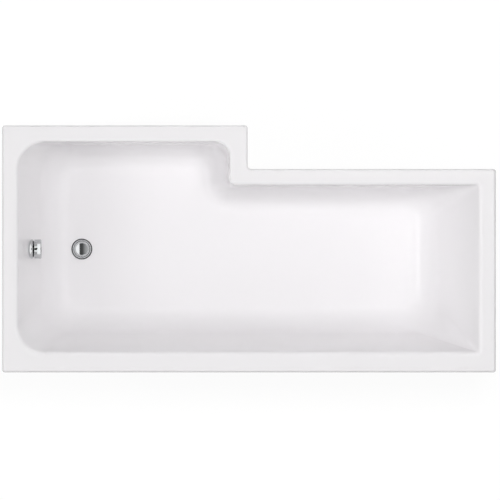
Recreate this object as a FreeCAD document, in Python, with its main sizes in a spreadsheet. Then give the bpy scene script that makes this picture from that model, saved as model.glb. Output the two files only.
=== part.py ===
import FreeCAD, Part
import math
import os
from types import SimpleNamespace

import Sketcher
from FreeCAD import Placement, Rotation, Vector

# L-shaped shower bath: acrylic tub on levelling feet, pop-up waste and overflow worked by a knob.
# Frame: origin on the floor under the middle of the rim, X to the sloping end, Y to the stepped
# front, Z up. The wall side is -Y and the showering end with the waste is -X.

doc = FreeCAD.newDocument("shower_bath")
sheet = doc.addObject("Spreadsheet::Sheet", "Dims")

# Driving sizes, millimetres and degrees, one cell each
SIZES = [
    ("bath_length", 1700, "rim, showering end to sloping end"),
    ("wide_width", 850, "rim across the showering end"),
    ("narrow_width", 700, "rim across the bathing end"),
    ("wide_length", 845, "showering end up to the step"),
    ("ground_clearance", 142, "tub underside above the floor"),
    ("well_depth", 400, "rim down to the inside floor"),
    ("shell_wall", 8, "acrylic with its reinforcement"),
    ("lip_drop", 40, "height of the turned-down rim"),
    ("lip_wall", 5, "thickness of the turned-down rim"),
    ("rim_corner", 10, "plan radius of the rim corners"),
    ("step_corner", 12, "plan radius in the step of the rim"),
    ("lip_corner", 4, "plan radius inside the lip"),
    ("rim_edge", 5, "rounding of the outer top edge"),
    ("rolled_edge", 10, "rounding from the rim into the well"),
    ("tap_rim", 53, "rim width, showering end"),
    ("wall_rim", 63, "rim width, wall side"),
    ("slope_rim", 56, "rim width, sloping end"),
    ("narrow_rim", 49, "rim width, narrow front"),
    ("step_rim", 65, "rim width, step"),
    ("wide_rim", 53, "rim width, wide front"),
    ("tap_run", 105, "how far each wall leans in by the floor"),
    ("wall_run", 97, "lean of the wall side"),
    ("slope_run", 180, "lean of the backrest"),
    ("narrow_run", 20, "lean of the narrow front"),
    ("step_run", 14, "lean of the step"),
    ("wide_run", 20, "lean of the wide front"),
    ("tap_corner", 95, "well corners at the rim, showering end"),
    ("slope_corner", 8, "well corners at the rim, sloping end"),
    ("nose_corner", 22, "well corner that juts in at the step"),
    ("inner_corner", 50, "well corner behind the step"),
    ("floor_tap_corner", 125, "the same corners at the floor"),
    ("floor_slope_corner", 110, "floor corner, sloping end"),
    ("floor_nose_corner", 30, "floor corner at the nose"),
    ("floor_inner_corner", 105, "floor corner behind the step"),
    ("floor_sweep", 95, "rounding from wall to floor"),
    ("batten_width", 25, "timber under the rim"),
    ("batten_gap", 2, "end gap between battens"),
    ("board_thickness", 15, "chipboard under the tub"),
    ("board_margin", 92, "board edge in from the floor outline"),
    ("board_corner", 20, "plan radius of the board"),
    ("waste_to_board", 75, "waste centre to the board edge"),
    ("rail_from_tap", 450, "first rail from the showering end"),
    ("rail_from_slope", 410, "second rail from the sloping end"),
    ("rail_width", 40, "steel channel"),
    ("rail_height", 25, "steel channel flanges"),
    ("steel_gauge", 2.5, "rails and brackets"),
    ("steel_bend", 4, "outside radius of bends"),
    ("rail_end", 22, "rail past the foot centre"),
    ("rail_screw_inset", 40, "end screws in from the board edge"),
    ("foot_inset", 60, "foot centres in from the rim"),
    ("stem_diameter", 10, "M10 studding"),
    ("stem_spare", 31, "thread standing above the upper nut"),
    ("thread_fit", 0.05, "radial clearance of nuts and sockets"),
    ("nut_flats", 17, "M10 nut across flats"),
    ("nut_height", 8, "M10 nut"),
    ("pad_diameter", 52, "foot pad"),
    ("pad_edge", 5, "pad thickness at the edge"),
    ("pad_floor", 6, "pad under the stem"),
    ("pad_neck", 20, "pad socket outside"),
    ("pad_height", 24, "pad socket top"),
    ("rib_thickness", 3, "webs on the pad"),
    ("rib_count", 6, "webs on the pad"),
    ("centre_from_tap", 880, "centre foot from the showering end"),
    ("centre_from_wall", 350, "centre foot from the wall side"),
    ("bracket_drop", 50, "centre bracket below the board"),
    ("bracket_web", 46, "centre bracket across its web"),
    ("bracket_tab", 24, "centre bracket screw tabs"),
    ("bracket_length", 50, "centre bracket along Y"),
    ("centre_spare", 22, "thread standing above the centre nut"),
    ("screw_diameter", 4, "wood screws"),
    ("screw_hole", 4.5, "clearance holes for them"),
    ("screw_bite", 10, "thread in the timber"),
    ("screw_head", 8, "pan head"),
    ("head_height", 2.4, "pan head"),
    ("angle_leg", 32, "wall bracket under the rim"),
    ("angle_drop", 45, "wall bracket down the wall"),
    ("angle_width", 60, "wall bracket along the wall"),
    ("wall_hole", 5.5, "wall screw holes"),
    ("wall_hole_pitch", 36, "wall screw holes apart"),
    ("wall_hole_drop", 28, "wall screw holes under the rim"),
    ("angle_inset", 350, "wall brackets in from the ends"),
    ("waste_inset", 272, "waste centre from the showering end"),
    ("waste_hole", 51, "hole in the floor"),
    ("waste_neck", 48, "threaded neck"),
    ("waste_bore", 40, "bore of the neck"),
    ("neck_length", 30, "neck below the floor surface"),
    ("waste_flange", 67, "visible ring"),
    ("seal_lip", 2.5, "seal showing round the ring"),
    ("flange_edge", 1.2, "ring thickness at its edge"),
    ("waste_crown", 62, "where the ring stops rising"),
    ("crown_height", 6.4, "ring above the floor"),
    ("plug_pocket", 56, "recess for the plug"),
    ("seat_level", 3, "plug seat above the floor"),
    ("gasket_thin", 1.5, "seal under the ring"),
    ("gasket_thick", 3, "seals behind the shell"),
    ("guide_level", 18, "stem guide below the floor"),
    ("guide_height", 7, "stem guide"),
    ("guide_arm", 3, "stem guide arms"),
    ("guide_hub", 12, "stem guide hub"),
    ("plug_gap", 0.8, "radial gap round the plug"),
    ("plug_top", 7.6, "plug centre above the floor"),
    ("plug_shoulder", 6.4, "plug edge above the floor"),
    ("plug_rim", 4.6, "underside of the plug edge"),
    ("plug_boss", 37, "plug boss that holds the seal"),
    ("boss_depth", 2.5, "boss below the floor surface"),
    ("plug_hub", 13, "plug hub"),
    ("hub_depth", 8, "hub below the floor surface"),
    ("seal_gap", 0.2, "seal to seat"),
    ("seal_inset", 1, "seal in from the plug edge"),
    ("plug_stem", 6, "stem diameter"),
    ("slide_fit", 0.1, "radial clearance of sliding rods"),
    ("pivot_fit", 0.05, "radial clearance of pivots"),
    ("body_flange", 76, "waste body top"),
    ("body_barrel", 68, "waste body outside"),
    ("body_wall", 4, "plastic walls"),
    ("flange_height", 5, "plastic flanges"),
    ("chamber_depth", 64, "chamber below the floor surface"),
    ("body_taper", 8, "cone down to the outlet"),
    ("tail_thread", 47.8, "inch and a half outlet thread"),
    ("tail_bore", 38, "outlet bore"),
    ("tail_length", 20, "outlet thread length"),
    ("pivot_depth", 46, "rocker pivot below the floor surface"),
    ("rocker_arm", 14, "pivot to the plug stem"),
    ("rocker_swing", 21, "rocker either side of level"),
    ("rocker_tip", 3, "tip radius"),
    ("rocker_width", 5, "rocker across"),
    ("rocker_hub", 9, "rocker hub"),
    ("hub_width", 10, "rocker hub along the pin"),
    ("rocker_pin", 3, "pin diameter"),
    ("pin_seat", 2, "pin into each wall"),
    ("rod_drop", 10, "push rod below the pivot"),
    ("rod_diameter", 2.4, "push rod"),
    ("contact_gap", 0.3, "between pieces that push"),
    ("crank_thickness", 3, "lower arm of the rocker"),
    ("crank_past", 3, "lower arm past the rod"),
    ("gland_diameter", 12, "cable glands"),
    ("gland_reach", 44, "gland ends from the centres"),
    ("cable_diameter", 5.2, "cable sheath"),
    ("cable_bow", 75, "how far the cable stands out to the side"),
    ("cable_fall", 250, "cable run down the wall"),
    ("cable_nut_flats", 15, "cable nuts"),
    ("cable_nut_length", 10, "cable nuts"),
    ("spigot_diameter", 34, "hose spigots"),
    ("spigot_bore", 27, "hose spigots"),
    ("spigot_reach", 64, "spigot end from its centre"),
    ("spigot_depth", 50, "waste spigot below the floor surface"),
    ("spigot_tilt", 12, "waste spigot above level"),
    ("hose_outside", 33, "hose over its ribs"),
    ("hose_valley", 29.6, "hose between its ribs"),
    ("hose_bore", 26, "hose bore"),
    ("rib_pitch", 6.5, "hose ribs"),
    ("hose_cuff", 13, "plain hose ends"),
    ("hose_straight", 74, "straight run before the waste"),
    ("hose_nut_flats", 44, "hose nuts across"),
    ("hose_nut_length", 26, "hose nuts"),
    ("hose_nut_grip", 14, "hose nut over the spigot"),
    ("hose_nut_sides", 12, "grips round the hose nut"),
    ("overflow_depth", 170, "overflow centre below the rim"),
    ("overflow_hole", 54, "hole in the wall"),
    ("overflow_flange", 68, "visible plate"),
    ("plate_edge", 1, "plate at its thin lower edge"),
    ("plate_web", 3, "front web of the plate"),
    ("plate_shoulder", 62, "plate diameter at its shoulder"),
    ("shoulder_height", 1.2, "shoulder past the edge"),
    ("plate_dish", 30, "plate diameter at its hub"),
    ("dish_height", 2, "dish past the edge"),
    ("plate_hub", 24, "hub of the plate"),
    ("hub_height", 3.6, "hub past the edge"),
    ("overflow_neck", 50, "threaded neck through the wall"),
    ("neck_wall", 4, "wall of that neck"),
    ("neck_grip", 8, "neck thread in the body"),
    ("bush_diameter", 16, "spindle bush"),
    ("bush_drop", 14, "spindle bush behind the plate"),
    ("slot_circle", 33, "circle of the water holes"),
    ("slot_diameter", 7, "water holes"),
    ("slot_count", 6, "water holes"),
    ("cup_flange", 74, "overflow body flange"),
    ("cup_barrel", 66, "overflow body outside"),
    ("cup_depth", 38, "overflow body depth"),
    ("knob_diameter", 68, "knob"),
    ("knob_wall", 3.5, "knob skirt"),
    ("knob_back", 6.5, "knob skirt off the plate edge"),
    ("knob_front", 28, "knob face off the plate edge"),
    ("knob_chamfer", 2.5, "knob edge"),
    ("knob_plate", 5, "knob face thickness"),
    ("knob_hub", 19, "knob hub"),
    ("knob_hub_back", 5.6, "knob hub off the plate edge"),
    ("knob_socket", 21, "end of the spindle off the plate edge"),
    ("spindle_diameter", 8, "spindle"),
    ("crank_disc", 20, "disc on the spindle"),
    ("crank_depth", 13.3, "back of that disc behind the cup face"),
    ("disc_thickness", 4, "that disc"),
    ("crank_radius", 6, "drive pin off the spindle"),
    ("drive_pin", 4, "drive pin"),
    ("drive_length", 6, "drive pin"),
]
for row, (alias, number, note) in enumerate(SIZES, 1):
    sheet.set(f"A{row}", alias)
    sheet.set(f"B{row}", str(number))
    sheet.setAlias(f"B{row}", alias)
    sheet.set(f"C{row}", note)
doc.recompute()


class Size:
    """An expression on the sheet together with its present value."""

    def __init__(self, text, number):
        self.text = text
        self.number = number

    def __neg__(self):
        return Size(f"(0 - {self.text})", -self.number)

    def __add__(self, other):
        other = sized(other)
        return Size(f"({self.text} + {other.text})", self.number + other.number)

    def __sub__(self, other):
        other = sized(other)
        return Size(f"({self.text} - {other.text})", self.number - other.number)

    def __mul__(self, other):
        other = sized(other)
        return Size(f"({self.text} * {other.text})", self.number * other.number)

    def __truediv__(self, other):
        other = sized(other)
        return Size(f"({self.text} / {other.text})", self.number / other.number)


def sized(size):
    return size if isinstance(size, Size) else Size(str(size), size)


def sine(angle):
    return Size(f"sin({angle.text})", math.sin(math.radians(angle.number)))


def cosine(angle):
    return Size(f"cos({angle.text})", math.cos(math.radians(angle.number)))


def tangent(angle):
    return Size(f"tan({angle.text})", math.tan(math.radians(angle.number)))


def least(first, second):
    return Size(f"min({first.text}; {second.text})", min(first.number, second.number))


def root(value):
    return Size(f"sqrt({value.text})", math.sqrt(value.number))


dims = SimpleNamespace(**{alias: Size(f"Dims.{alias}", number) for alias, number, note in SIZES})
zero = sized(0)
SHARP = Vector(0, 0, 1)

# Places that several pieces share
tap_x = -dims.bath_length / 2
slope_x = dims.bath_length / 2
wall_y = -dims.wide_width / 2
front_y = dims.wide_width / 2
narrow_y = wall_y + dims.narrow_width
step_x = tap_x + dims.wide_length
under_z = dims.ground_clearance
floor_z = under_z + dims.shell_wall
rim_z = floor_z + dims.well_depth
deck_z = rim_z - dims.shell_wall
lip_z = rim_z - dims.lip_drop
board_z = under_z - dims.board_thickness
waste_x = tap_x + dims.waste_inset
slant = dims.tap_run / dims.well_depth
overflow_x = tap_x + dims.tap_rim + dims.tap_run * dims.overflow_depth / dims.well_depth
overflow_z = rim_z - dims.overflow_depth

parts = []


def keep(thing, label):
    """Marks an object as a sub-part under its own label."""
    thing.Label = label
    parts.append(thing)
    return thing


def bind(thing, path, size):
    thing.setExpression(path, sized(size).text)


def place(thing, x, y, z):
    for path, size in (("x", x), ("y", y), ("z", z)):
        bind(thing, f"Placement.Base.{path}", size)


def turn(thing, axis, angle):
    thing.Placement = Placement(Vector(0, 0, 0), Rotation(Vector(*axis), 45))
    thing.setExpression("Placement.Rotation.Angle", angle)


def on_overflow(thing):
    """Puts a piece on the level overflow axis: its Z into the well, its X down."""
    thing.Placement = Placement(Vector(0, 0, 0), Rotation(Vector(0, 1, 0), 90))
    place(thing, overflow_x, zero, overflow_z)


def new_sketch(body, name, role, offset):
    plane = next(feature for feature in body.Origin.OriginFeatures if feature.Role == role)
    sketch = body.newObject("Sketcher::SketchObject", name)
    sketch.AttachmentSupport = [(plane, "")]
    sketch.MapMode = "FlatFace"
    bind(sketch, "AttachmentOffset.Base.z", offset)
    return sketch


def measure(sketch, constraint, size):
    number = sketch.addConstraint(constraint)
    bind(sketch, f"Constraints[{number}]", size)


def pin(sketch, element, point, x, y):
    """Ties one point of a sketch element to the sketch origin."""
    measure(sketch, Sketcher.Constraint("DistanceX", -1, 1, element, point, x.number), x)
    measure(sketch, Sketcher.Constraint("DistanceY", -1, 1, element, point, y.number), y)


def polygon(body, name, role, offset, points):
    sketch = new_sketch(body, name, role, offset)
    points = [(sized(x), sized(y)) for x, y in points]
    corners = [Vector(x.number, y.number) for x, y in points]
    count = len(points)
    for i in range(count):
        sketch.addGeometry(Part.LineSegment(corners[i], corners[(i + 1) % count]))
    for i, (x, y) in enumerate(points):
        sketch.addConstraint(Sketcher.Constraint("Coincident", i, 2, (i + 1) % count, 1))
        pin(sketch, i, 1, x, y)
    return sketch


def circles(body, name, role, offset, rings):
    sketch = new_sketch(body, name, role, offset)
    for x, y, radius in rings:
        x, y = sized(x), sized(y)
        ring = sketch.addGeometry(Part.Circle(Vector(x.number, y.number), SHARP, radius.number))
        pin(sketch, ring, 3, x, y)
        measure(sketch, Sketcher.Constraint("Radius", ring, radius.number), radius)
    return sketch


def rounded_outline(body, name, height, corners):
    """A closed square-cornered outline, run anticlockwise, with a radius at each corner."""
    sketch = new_sketch(body, name, "XY_Plane", height)
    count = len(corners)
    heads = []
    for i in range(count):
        x, y, radius = corners[i]
        next_x, next_y, next_radius = corners[(i + 1) % count]
        along_x = abs(next_x.number - x.number) > abs(next_y.number - y.number)
        forward = (next_x.number > x.number) if along_x else (next_y.number > y.number)
        lead = radius if forward else -radius
        trail = next_radius if forward else -next_radius
        start = (x + lead, y) if along_x else (x, y + lead)
        end = (next_x - trail, next_y) if along_x else (next_x, next_y - trail)
        line = Part.LineSegment(Vector(start[0].number, start[1].number),
                                Vector(end[0].number, end[1].number))
        sketch.addGeometry(line)
        pin(sketch, i, 1, *start)
        pin(sketch, i, 2, *end)
        heads.append((line.EndPoint - line.StartPoint).normalize())
    for i in range(count):
        before = (i - 1) % count
        radius = corners[i][2]
        first, last = sketch.getPoint(before, 2), sketch.getPoint(i, 1)
        centre = first + heads[i] * radius.number
        left_turn = heads[before].cross(heads[i]).z > 0
        ends = (first, last) if left_turn else (last, first)
        angles = [math.atan2(point.y - centre.y, point.x - centre.x) for point in ends]
        arc = sketch.addGeometry(Part.ArcOfCircle(Part.Circle(centre, SHARP, radius.number), *angles))
        start, end = (1, 2) if left_turn else (2, 1)
        sketch.addConstraint(Sketcher.Constraint("Coincident", arc, start, before, 2))
        sketch.addConstraint(Sketcher.Constraint("Coincident", arc, end, i, 1))
        measure(sketch, Sketcher.Constraint("Radius", arc, radius.number), radius)
    return sketch


SIDES = ("tap", "wall", "slope", "narrow", "step", "wide")


def l_corners(insets, radii):
    """Corners of the L set in from the rim on each side; the fourth corner juts inwards."""
    tap, wall, slope, narrow, step, wide = [insets[side] for side in SIDES]
    points = [
        (tap_x + tap, wall_y + wall),
        (slope_x - slope, wall_y + wall),
        (slope_x - slope, narrow_y - narrow),
        (step_x - step, narrow_y - narrow),
        (step_x - step, front_y - wide),
        (tap_x + tap, front_y - wide),
    ]
    return [(x, y, radius) for (x, y), radius in zip(points, radii)]


def extrude(body, name, sketch, length, kind="Pad", back=False, both=False):
    feature = body.newObject(f"PartDesign::{kind}", name)
    feature.Profile = sketch
    feature.Reversed = back
    if both:
        feature.SideType = "Symmetric"
    bind(feature, "Length", length)
    doc.recompute()
    return feature


def round_edges(body, name, radius, chosen):
    base = body.Tip
    fillet = body.newObject("PartDesign::Fillet", name)
    fillet.Base = (base, [f"Edge{i}" for i, edge in enumerate(base.Shape.Edges, 1) if chosen(edge)])
    bind(fillet, "Radius", radius)
    doc.recompute()


def level_edges(height):
    def chosen(edge):
        box = edge.BoundBox
        return abs(box.ZMin - height.number) < 1e-3 and abs(box.ZMax - height.number) < 1e-3
    return chosen


def ring_edges(radius, height):
    def chosen(edge):
        return (isinstance(edge.Curve, Part.Circle) and level_edges(height)(edge)
                and abs(edge.Curve.Radius - radius.number) < 1e-3)
    return chosen


def line_edges(axis, **places):
    """Straight edges along one axis that pass through the given coordinates."""
    def chosen(edge):
        middle = edge.BoundBox.Center
        return (isinstance(edge.Curve, (Part.Line, Part.LineSegment))
                and abs(abs(getattr(edge.tangentAt(edge.FirstParameter), axis)) - 1) < 1e-6
                and all(abs(getattr(middle, key) - size.number) < 1e-3 for key, size in places.items()))
    return chosen


def repeat(body, name, feature, count, whole):
    """Copies a feature round the Z axis."""
    pattern = body.newObject("PartDesign::PolarPattern", name)
    pattern.Originals = [feature]
    pattern.Axis = (next(f for f in body.Origin.OriginFeatures if f.Role == "Z_Axis"), [""])
    pattern.Angle = whole
    body.Tip = pattern
    bind(pattern, "Occurrences", count)
    doc.recompute()


def turned_rib(body, name, points):
    """Adds to a body what a (radius, height) outline sweeps round the body's Z axis."""
    sketch = polygon(body, f"{name}_section", "XZ_Plane", zero, points)
    feature = body.newObject("PartDesign::Revolution", f"{name}_turned")
    feature.Profile = sketch
    feature.ReferenceAxis = (sketch, ["V_Axis"])
    feature.Angle = 360
    doc.recompute()


def turned_body(label, points):
    """A body turned about its own Z axis from a (radius, height) outline."""
    body = keep(doc.addObject("PartDesign::Body", label), label)
    turned_rib(body, label, points)
    return body


def washer(label, inner, outer, bottom, top):
    return turned_body(label, [(inner, bottom), (outer, bottom), (outer, top), (inner, top)])


def cylinder(name, radius, height, x, y, z):
    thing = doc.addObject("Part::Cylinder", name)
    bind(thing, "Radius", radius)
    bind(thing, "Height", height)
    place(thing, x, y, z)
    return thing


def lying(name, radius, length, x, y, z, axis, angle="90 deg"):
    thing = cylinder(name, radius, length, x, y, z)
    turn(thing, axis, angle)
    place(thing, x, y, z)
    return thing


def cone(name, low, high, height, z):
    thing = doc.addObject("Part::Cone", name)
    bind(thing, "Radius1", low)
    bind(thing, "Radius2", high)
    bind(thing, "Height", height)
    place(thing, zero, zero, z)
    return thing


def box(name, length, width, height, x, y, z):
    thing = doc.addObject("Part::Box", name)
    bind(thing, "Length", length)
    bind(thing, "Width", width)
    bind(thing, "Height", height)
    place(thing, x, y, z)
    return thing


def fuse(name, things):
    whole = doc.addObject("Part::MultiFuse", name)
    whole.Shapes = things
    return whole


def cut(name, base, tool):
    rest = doc.addObject("Part::Cut", name)
    rest.Base = base
    rest.Tool = tool
    return rest


def group(label, things):
    whole = keep(doc.addObject("Part::Compound", label), label)
    whole.Links = things
    return whole


# Bath shell: a deck with a turned-down lip, a tub lofted down from it and the well cut out of the
# tub with a swept floor, then the rolled edge, the outer edge and the two holes.
rim = {side: getattr(dims, f"{side}_rim") for side in SIDES}
run = {side: getattr(dims, f"{side}_run") for side in SIDES}
floor = {side: rim[side] + run[side] for side in SIDES}
deeper = (dims.well_depth + dims.shell_wall) / dims.well_depth
outside_rim = {side: rim[side] - dims.shell_wall for side in SIDES}
outside_floor = {side: outside_rim[side] + run[side] * deeper for side in SIDES}


def step_fit(insets, nose, inner):
    """Share of the two radii in the step that its length has room for, one where both fit whole."""
    length = dims.wide_width - dims.narrow_width + insets["narrow"] - insets["wide"]
    return least(sized(1), (length - dims.rolled_edge) / (nose + inner))


rim_fit = step_fit(rim, dims.nose_corner, dims.inner_corner)
floor_fit = step_fit(floor, dims.floor_nose_corner, dims.floor_inner_corner)
floor_inner = dims.floor_inner_corner * floor_fit
well_radii = [dims.tap_corner, dims.slope_corner, dims.slope_corner,
              dims.nose_corner * rim_fit, dims.inner_corner * rim_fit, dims.tap_corner]
floor_radii = [dims.floor_tap_corner, dims.floor_slope_corner, dims.floor_slope_corner,
               dims.floor_nose_corner * floor_fit, floor_inner, dims.floor_tap_corner]
waste_flat = dims.waste_inset - dims.body_flange / 2 - outside_floor["tap"]
waste_sweep = waste_flat / (root(slant * slant + sized(1)) - slant) - dims.shell_wall
sweep = least(least(dims.floor_sweep, floor_inner - dims.rolled_edge), waste_sweep)


def l_radii(corner, inward):
    return [corner, corner, corner, inward, corner, corner]


def grown(radii):
    return [radius - dims.shell_wall if i == 3 else radius + dims.shell_wall
            for i, radius in enumerate(radii)]


def same(inset):
    return {side: inset for side in SIDES}


def loft(body, name, top, bottom, rounding, low):
    """Ruled loft between two outlines with the lower edge rounded."""
    feature = body.newObject("PartDesign::AdditiveLoft", name)
    feature.Profile = top
    feature.Sections = [bottom]
    feature.Ruled = True
    doc.recompute()
    round_edges(body, f"{name}_sweep", rounding, level_edges(low))


shell = keep(doc.addObject("PartDesign::Body", "bath_shell"), "bath_shell")
rim_outline = rounded_outline(shell, "rim_outline", rim_z,
                              l_corners(same(zero), l_radii(dims.rim_corner, dims.step_corner)))
extrude(shell, "rim_slab", rim_outline, dims.lip_drop, back=True)
lip_outline = rounded_outline(shell, "lip_outline", deck_z,
                              l_corners(same(dims.lip_wall),
                                        l_radii(dims.lip_corner, dims.step_corner + dims.lip_wall)))
extrude(shell, "under_rim", lip_outline, dims.lip_drop, "Pocket")
tub_top = rounded_outline(shell, "tub_top", rim_z, l_corners(outside_rim, grown(well_radii)))
tub_floor = rounded_outline(shell, "tub_floor", under_z, l_corners(outside_floor, grown(floor_radii)))
loft(shell, "tub", tub_top, tub_floor, sweep + dims.shell_wall, under_z)
hollow = doc.addObject("PartDesign::Body", "hollow")
well_top = rounded_outline(hollow, "well_top", rim_z, l_corners(rim, well_radii))
well_floor = rounded_outline(hollow, "well_floor", floor_z, l_corners(floor, floor_radii))
loft(hollow, "well", well_top, well_floor, sweep, floor_z)
well_cut = shell.newObject("PartDesign::Boolean", "well_cut")
well_cut.Type = "Cut"
well_cut.addObjects([hollow])
shell.Tip = well_cut
doc.recompute()


def deck_edges(outer):
    """Edges round the flat deck: its outer wire, or the wire round the well."""
    faces = [face for face in shell.Tip.Shape.Faces
             if abs(face.BoundBox.ZMin - rim_z.number) < 1e-3 and face.normalAt(0, 0).z > 0.9]
    deck = max(faces, key=lambda face: face.Area)
    wires = [wire for wire in deck.Wires if wire.isSame(deck.OuterWire) == outer]
    edges = [edge for wire in wires for edge in wire.Edges]
    return lambda edge: any(edge.isSame(other) for other in edges)


round_edges(shell, "rolled_rim", dims.rolled_edge, deck_edges(False))
round_edges(shell, "outer_rim", dims.rim_edge, deck_edges(True))
waste_opening = circles(shell, "waste_opening", "XY_Plane", floor_z, [(waste_x, zero, dims.waste_hole / 2)])
extrude(shell, "waste_cut", waste_opening, dims.shell_wall * 2, "Pocket")
overflow_opening = circles(shell, "overflow_opening", "YZ_Plane", overflow_x,
                           [(zero, overflow_z, dims.overflow_hole / 2)])
extrude(shell, "overflow_cut", overflow_opening, (dims.shell_wall + dims.overflow_hole * slant) * 2,
        "Pocket", both=True)

# Timber under the rim: six battens inside the lip, glued up against the deck.
batten_height = dims.lip_drop - dims.shell_wall
edge_in = dims.lip_wall
end_in = dims.lip_wall + dims.lip_corner
cross_in = dims.lip_wall + dims.batten_width + dims.batten_gap
battens = {
    "wall": (tap_x + end_in, wall_y + edge_in, slope_x - end_in, wall_y + edge_in + dims.batten_width),
    "tap": (tap_x + edge_in, wall_y + cross_in, tap_x + edge_in + dims.batten_width, front_y - cross_in),
    "slope": (slope_x - edge_in - dims.batten_width, wall_y + cross_in, slope_x - edge_in, narrow_y - cross_in),
    "narrow": (step_x - edge_in, narrow_y - edge_in - dims.batten_width, slope_x - end_in, narrow_y - edge_in),
    "step": (step_x - edge_in - dims.batten_width, narrow_y + dims.step_corner, step_x - edge_in, front_y - cross_in),
    "wide": (tap_x + end_in, front_y - edge_in - dims.batten_width, step_x - end_in, front_y - edge_in),
}
for side, (x0, y0, x1, y1) in battens.items():
    label = f"rim_batten_{side}"
    keep(box(label, x1 - x0, y1 - y0, batten_height, x0, y0, lip_z), label)

# Base board: chipboard bonded to the flat of the tub's underside.
board_insets = {side: floor[side] + dims.board_margin for side in SIDES}
board_insets["tap"] = dims.waste_inset + dims.waste_to_board
board = keep(doc.addObject("PartDesign::Body", "base_board"), "base_board")
board_outline = rounded_outline(board, "board_outline", under_z,
                                l_corners(board_insets, l_radii(dims.board_corner, dims.board_corner)))
extrude(board, "board_slab", board_outline, dims.board_thickness, back=True)
board_wall_y = wall_y + board_insets["wall"]
board_narrow_y = narrow_y - board_insets["narrow"]
board_wide_y = front_y - board_insets["wide"]


def wood_screw(name, x, y, seat):
    """A pan-head screw driven upwards, its head under the given seat."""
    head = cylinder(f"{name}_head", dims.screw_head / 2, dims.head_height, x, y, seat - dims.head_height)
    shank = cylinder(f"{name}_shank", dims.screw_diameter / 2, dims.steel_gauge + dims.screw_bite, x, y, seat)
    return fuse(name, [head, shank])


# Leg rails: steel channels screwed across the board, open below.
rail_screws = []
feet = {}
web_under = board_z - dims.steel_gauge
for end, rail_x, front, board_front in (
        ("tap", tap_x + dims.rail_from_tap, front_y, board_wide_y),
        ("slope", slope_x - dims.rail_from_slope, narrow_y, board_narrow_y)):
    label = f"leg_rail_{end}"
    wall_foot = wall_y + dims.foot_inset
    front_foot = front - dims.foot_inset
    low = wall_foot - dims.rail_end
    high = front_foot + dims.rail_end
    half = dims.rail_width / 2
    inner = half - dims.steel_gauge
    rail = keep(doc.addObject("PartDesign::Body", label), label)
    section = polygon(rail, f"{label}_section", "XZ_Plane", -high, [
        (rail_x - half, board_z), (rail_x - half, board_z - dims.rail_height),
        (rail_x - inner, board_z - dims.rail_height), (rail_x - inner, web_under),
        (rail_x + inner, web_under), (rail_x + inner, board_z - dims.rail_height),
        (rail_x + half, board_z - dims.rail_height), (rail_x + half, board_z)])
    extrude(rail, f"{label}_channel", section, high - low)
    outer_bends = [line_edges("y", x=rail_x - half, z=board_z), line_edges("y", x=rail_x + half, z=board_z)]
    round_edges(rail, f"{label}_bends", dims.steel_bend, lambda edge: any(pick(edge) for pick in outer_bends))
    screw_rows = [board_wall_y + dims.rail_screw_inset, (board_wall_y + board_front) / 2,
                  board_front - dims.rail_screw_inset]
    holes = [(rail_x, y, dims.screw_hole / 2) for y in screw_rows]
    holes += [(rail_x, y, dims.stem_diameter / 2 + dims.thread_fit * 10) for y in (wall_foot, front_foot)]
    openings = circles(rail, f"{label}_holes", "XY_Plane", board_z, holes)
    extrude(rail, f"{label}_drilled", openings, dims.steel_gauge * 2, "Pocket")
    rail_screws += [wood_screw(f"{label}_screw_{i}", rail_x, y, web_under) for i, y in enumerate(screw_rows)]
    feet[f"{end}_wall"] = (rail_x, wall_foot, board_z, dims.stem_spare)
    feet[f"{end}_front"] = (rail_x, front_foot, board_z, dims.stem_spare)
group("rail_screws", rail_screws)

# Centre bracket: a folded strap hung under the middle of the board for the fifth foot.
centre_x = tap_x + dims.centre_from_tap
centre_y = wall_y + dims.centre_from_wall
half = dims.bracket_web / 2
inner = half - dims.steel_gauge
tab = half + dims.bracket_tab
web_low = board_z - dims.bracket_drop
web_top = web_low + dims.steel_gauge
strap = keep(doc.addObject("PartDesign::Body", "centre_bracket"), "centre_bracket")
strap_section = polygon(strap, "strap_section", "XZ_Plane", -(centre_y + dims.bracket_length / 2), [
    (centre_x - tab, board_z), (centre_x - tab, web_under), (centre_x - half, web_under),
    (centre_x - half, web_low), (centre_x + half, web_low), (centre_x + half, web_under),
    (centre_x + tab, web_under), (centre_x + tab, board_z), (centre_x + inner, board_z),
    (centre_x + inner, web_top), (centre_x - inner, web_top), (centre_x - inner, board_z)])
extrude(strap, "strap_folded", strap_section, dims.bracket_length)
strap_bends = [line_edges("y", x=centre_x - half, z=web_low), line_edges("y", x=centre_x + half, z=web_low),
               line_edges("y", x=centre_x - inner, z=board_z), line_edges("y", x=centre_x + inner, z=board_z)]
round_edges(strap, "strap_bends", dims.steel_bend, lambda edge: any(pick(edge) for pick in strap_bends))
stem_opening = circles(strap, "stem_opening", "XY_Plane", web_top,
                       [(centre_x, centre_y, dims.stem_diameter / 2 + dims.thread_fit * 10)])
extrude(strap, "stem_drilled", stem_opening, dims.steel_gauge * 2, "Pocket")
tab_screws = [(centre_x + (half + dims.bracket_tab / 2) * side, centre_y + dims.bracket_length / 4 * row)
              for side in (-1, 1) for row in (-1, 1)]
tab_opening = circles(strap, "tab_opening", "XY_Plane", board_z,
                      [(x, y, dims.screw_hole / 2) for x, y in tab_screws])
extrude(strap, "tab_drilled", tab_opening, dims.steel_gauge * 2, "Pocket")
group("centre_bracket_screws",
      [wood_screw(f"tab_screw_{i}", x, y, web_under) for i, (x, y) in enumerate(tab_screws)])
feet["centre"] = (centre_x, centre_y, web_top, dims.centre_spare)

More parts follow.
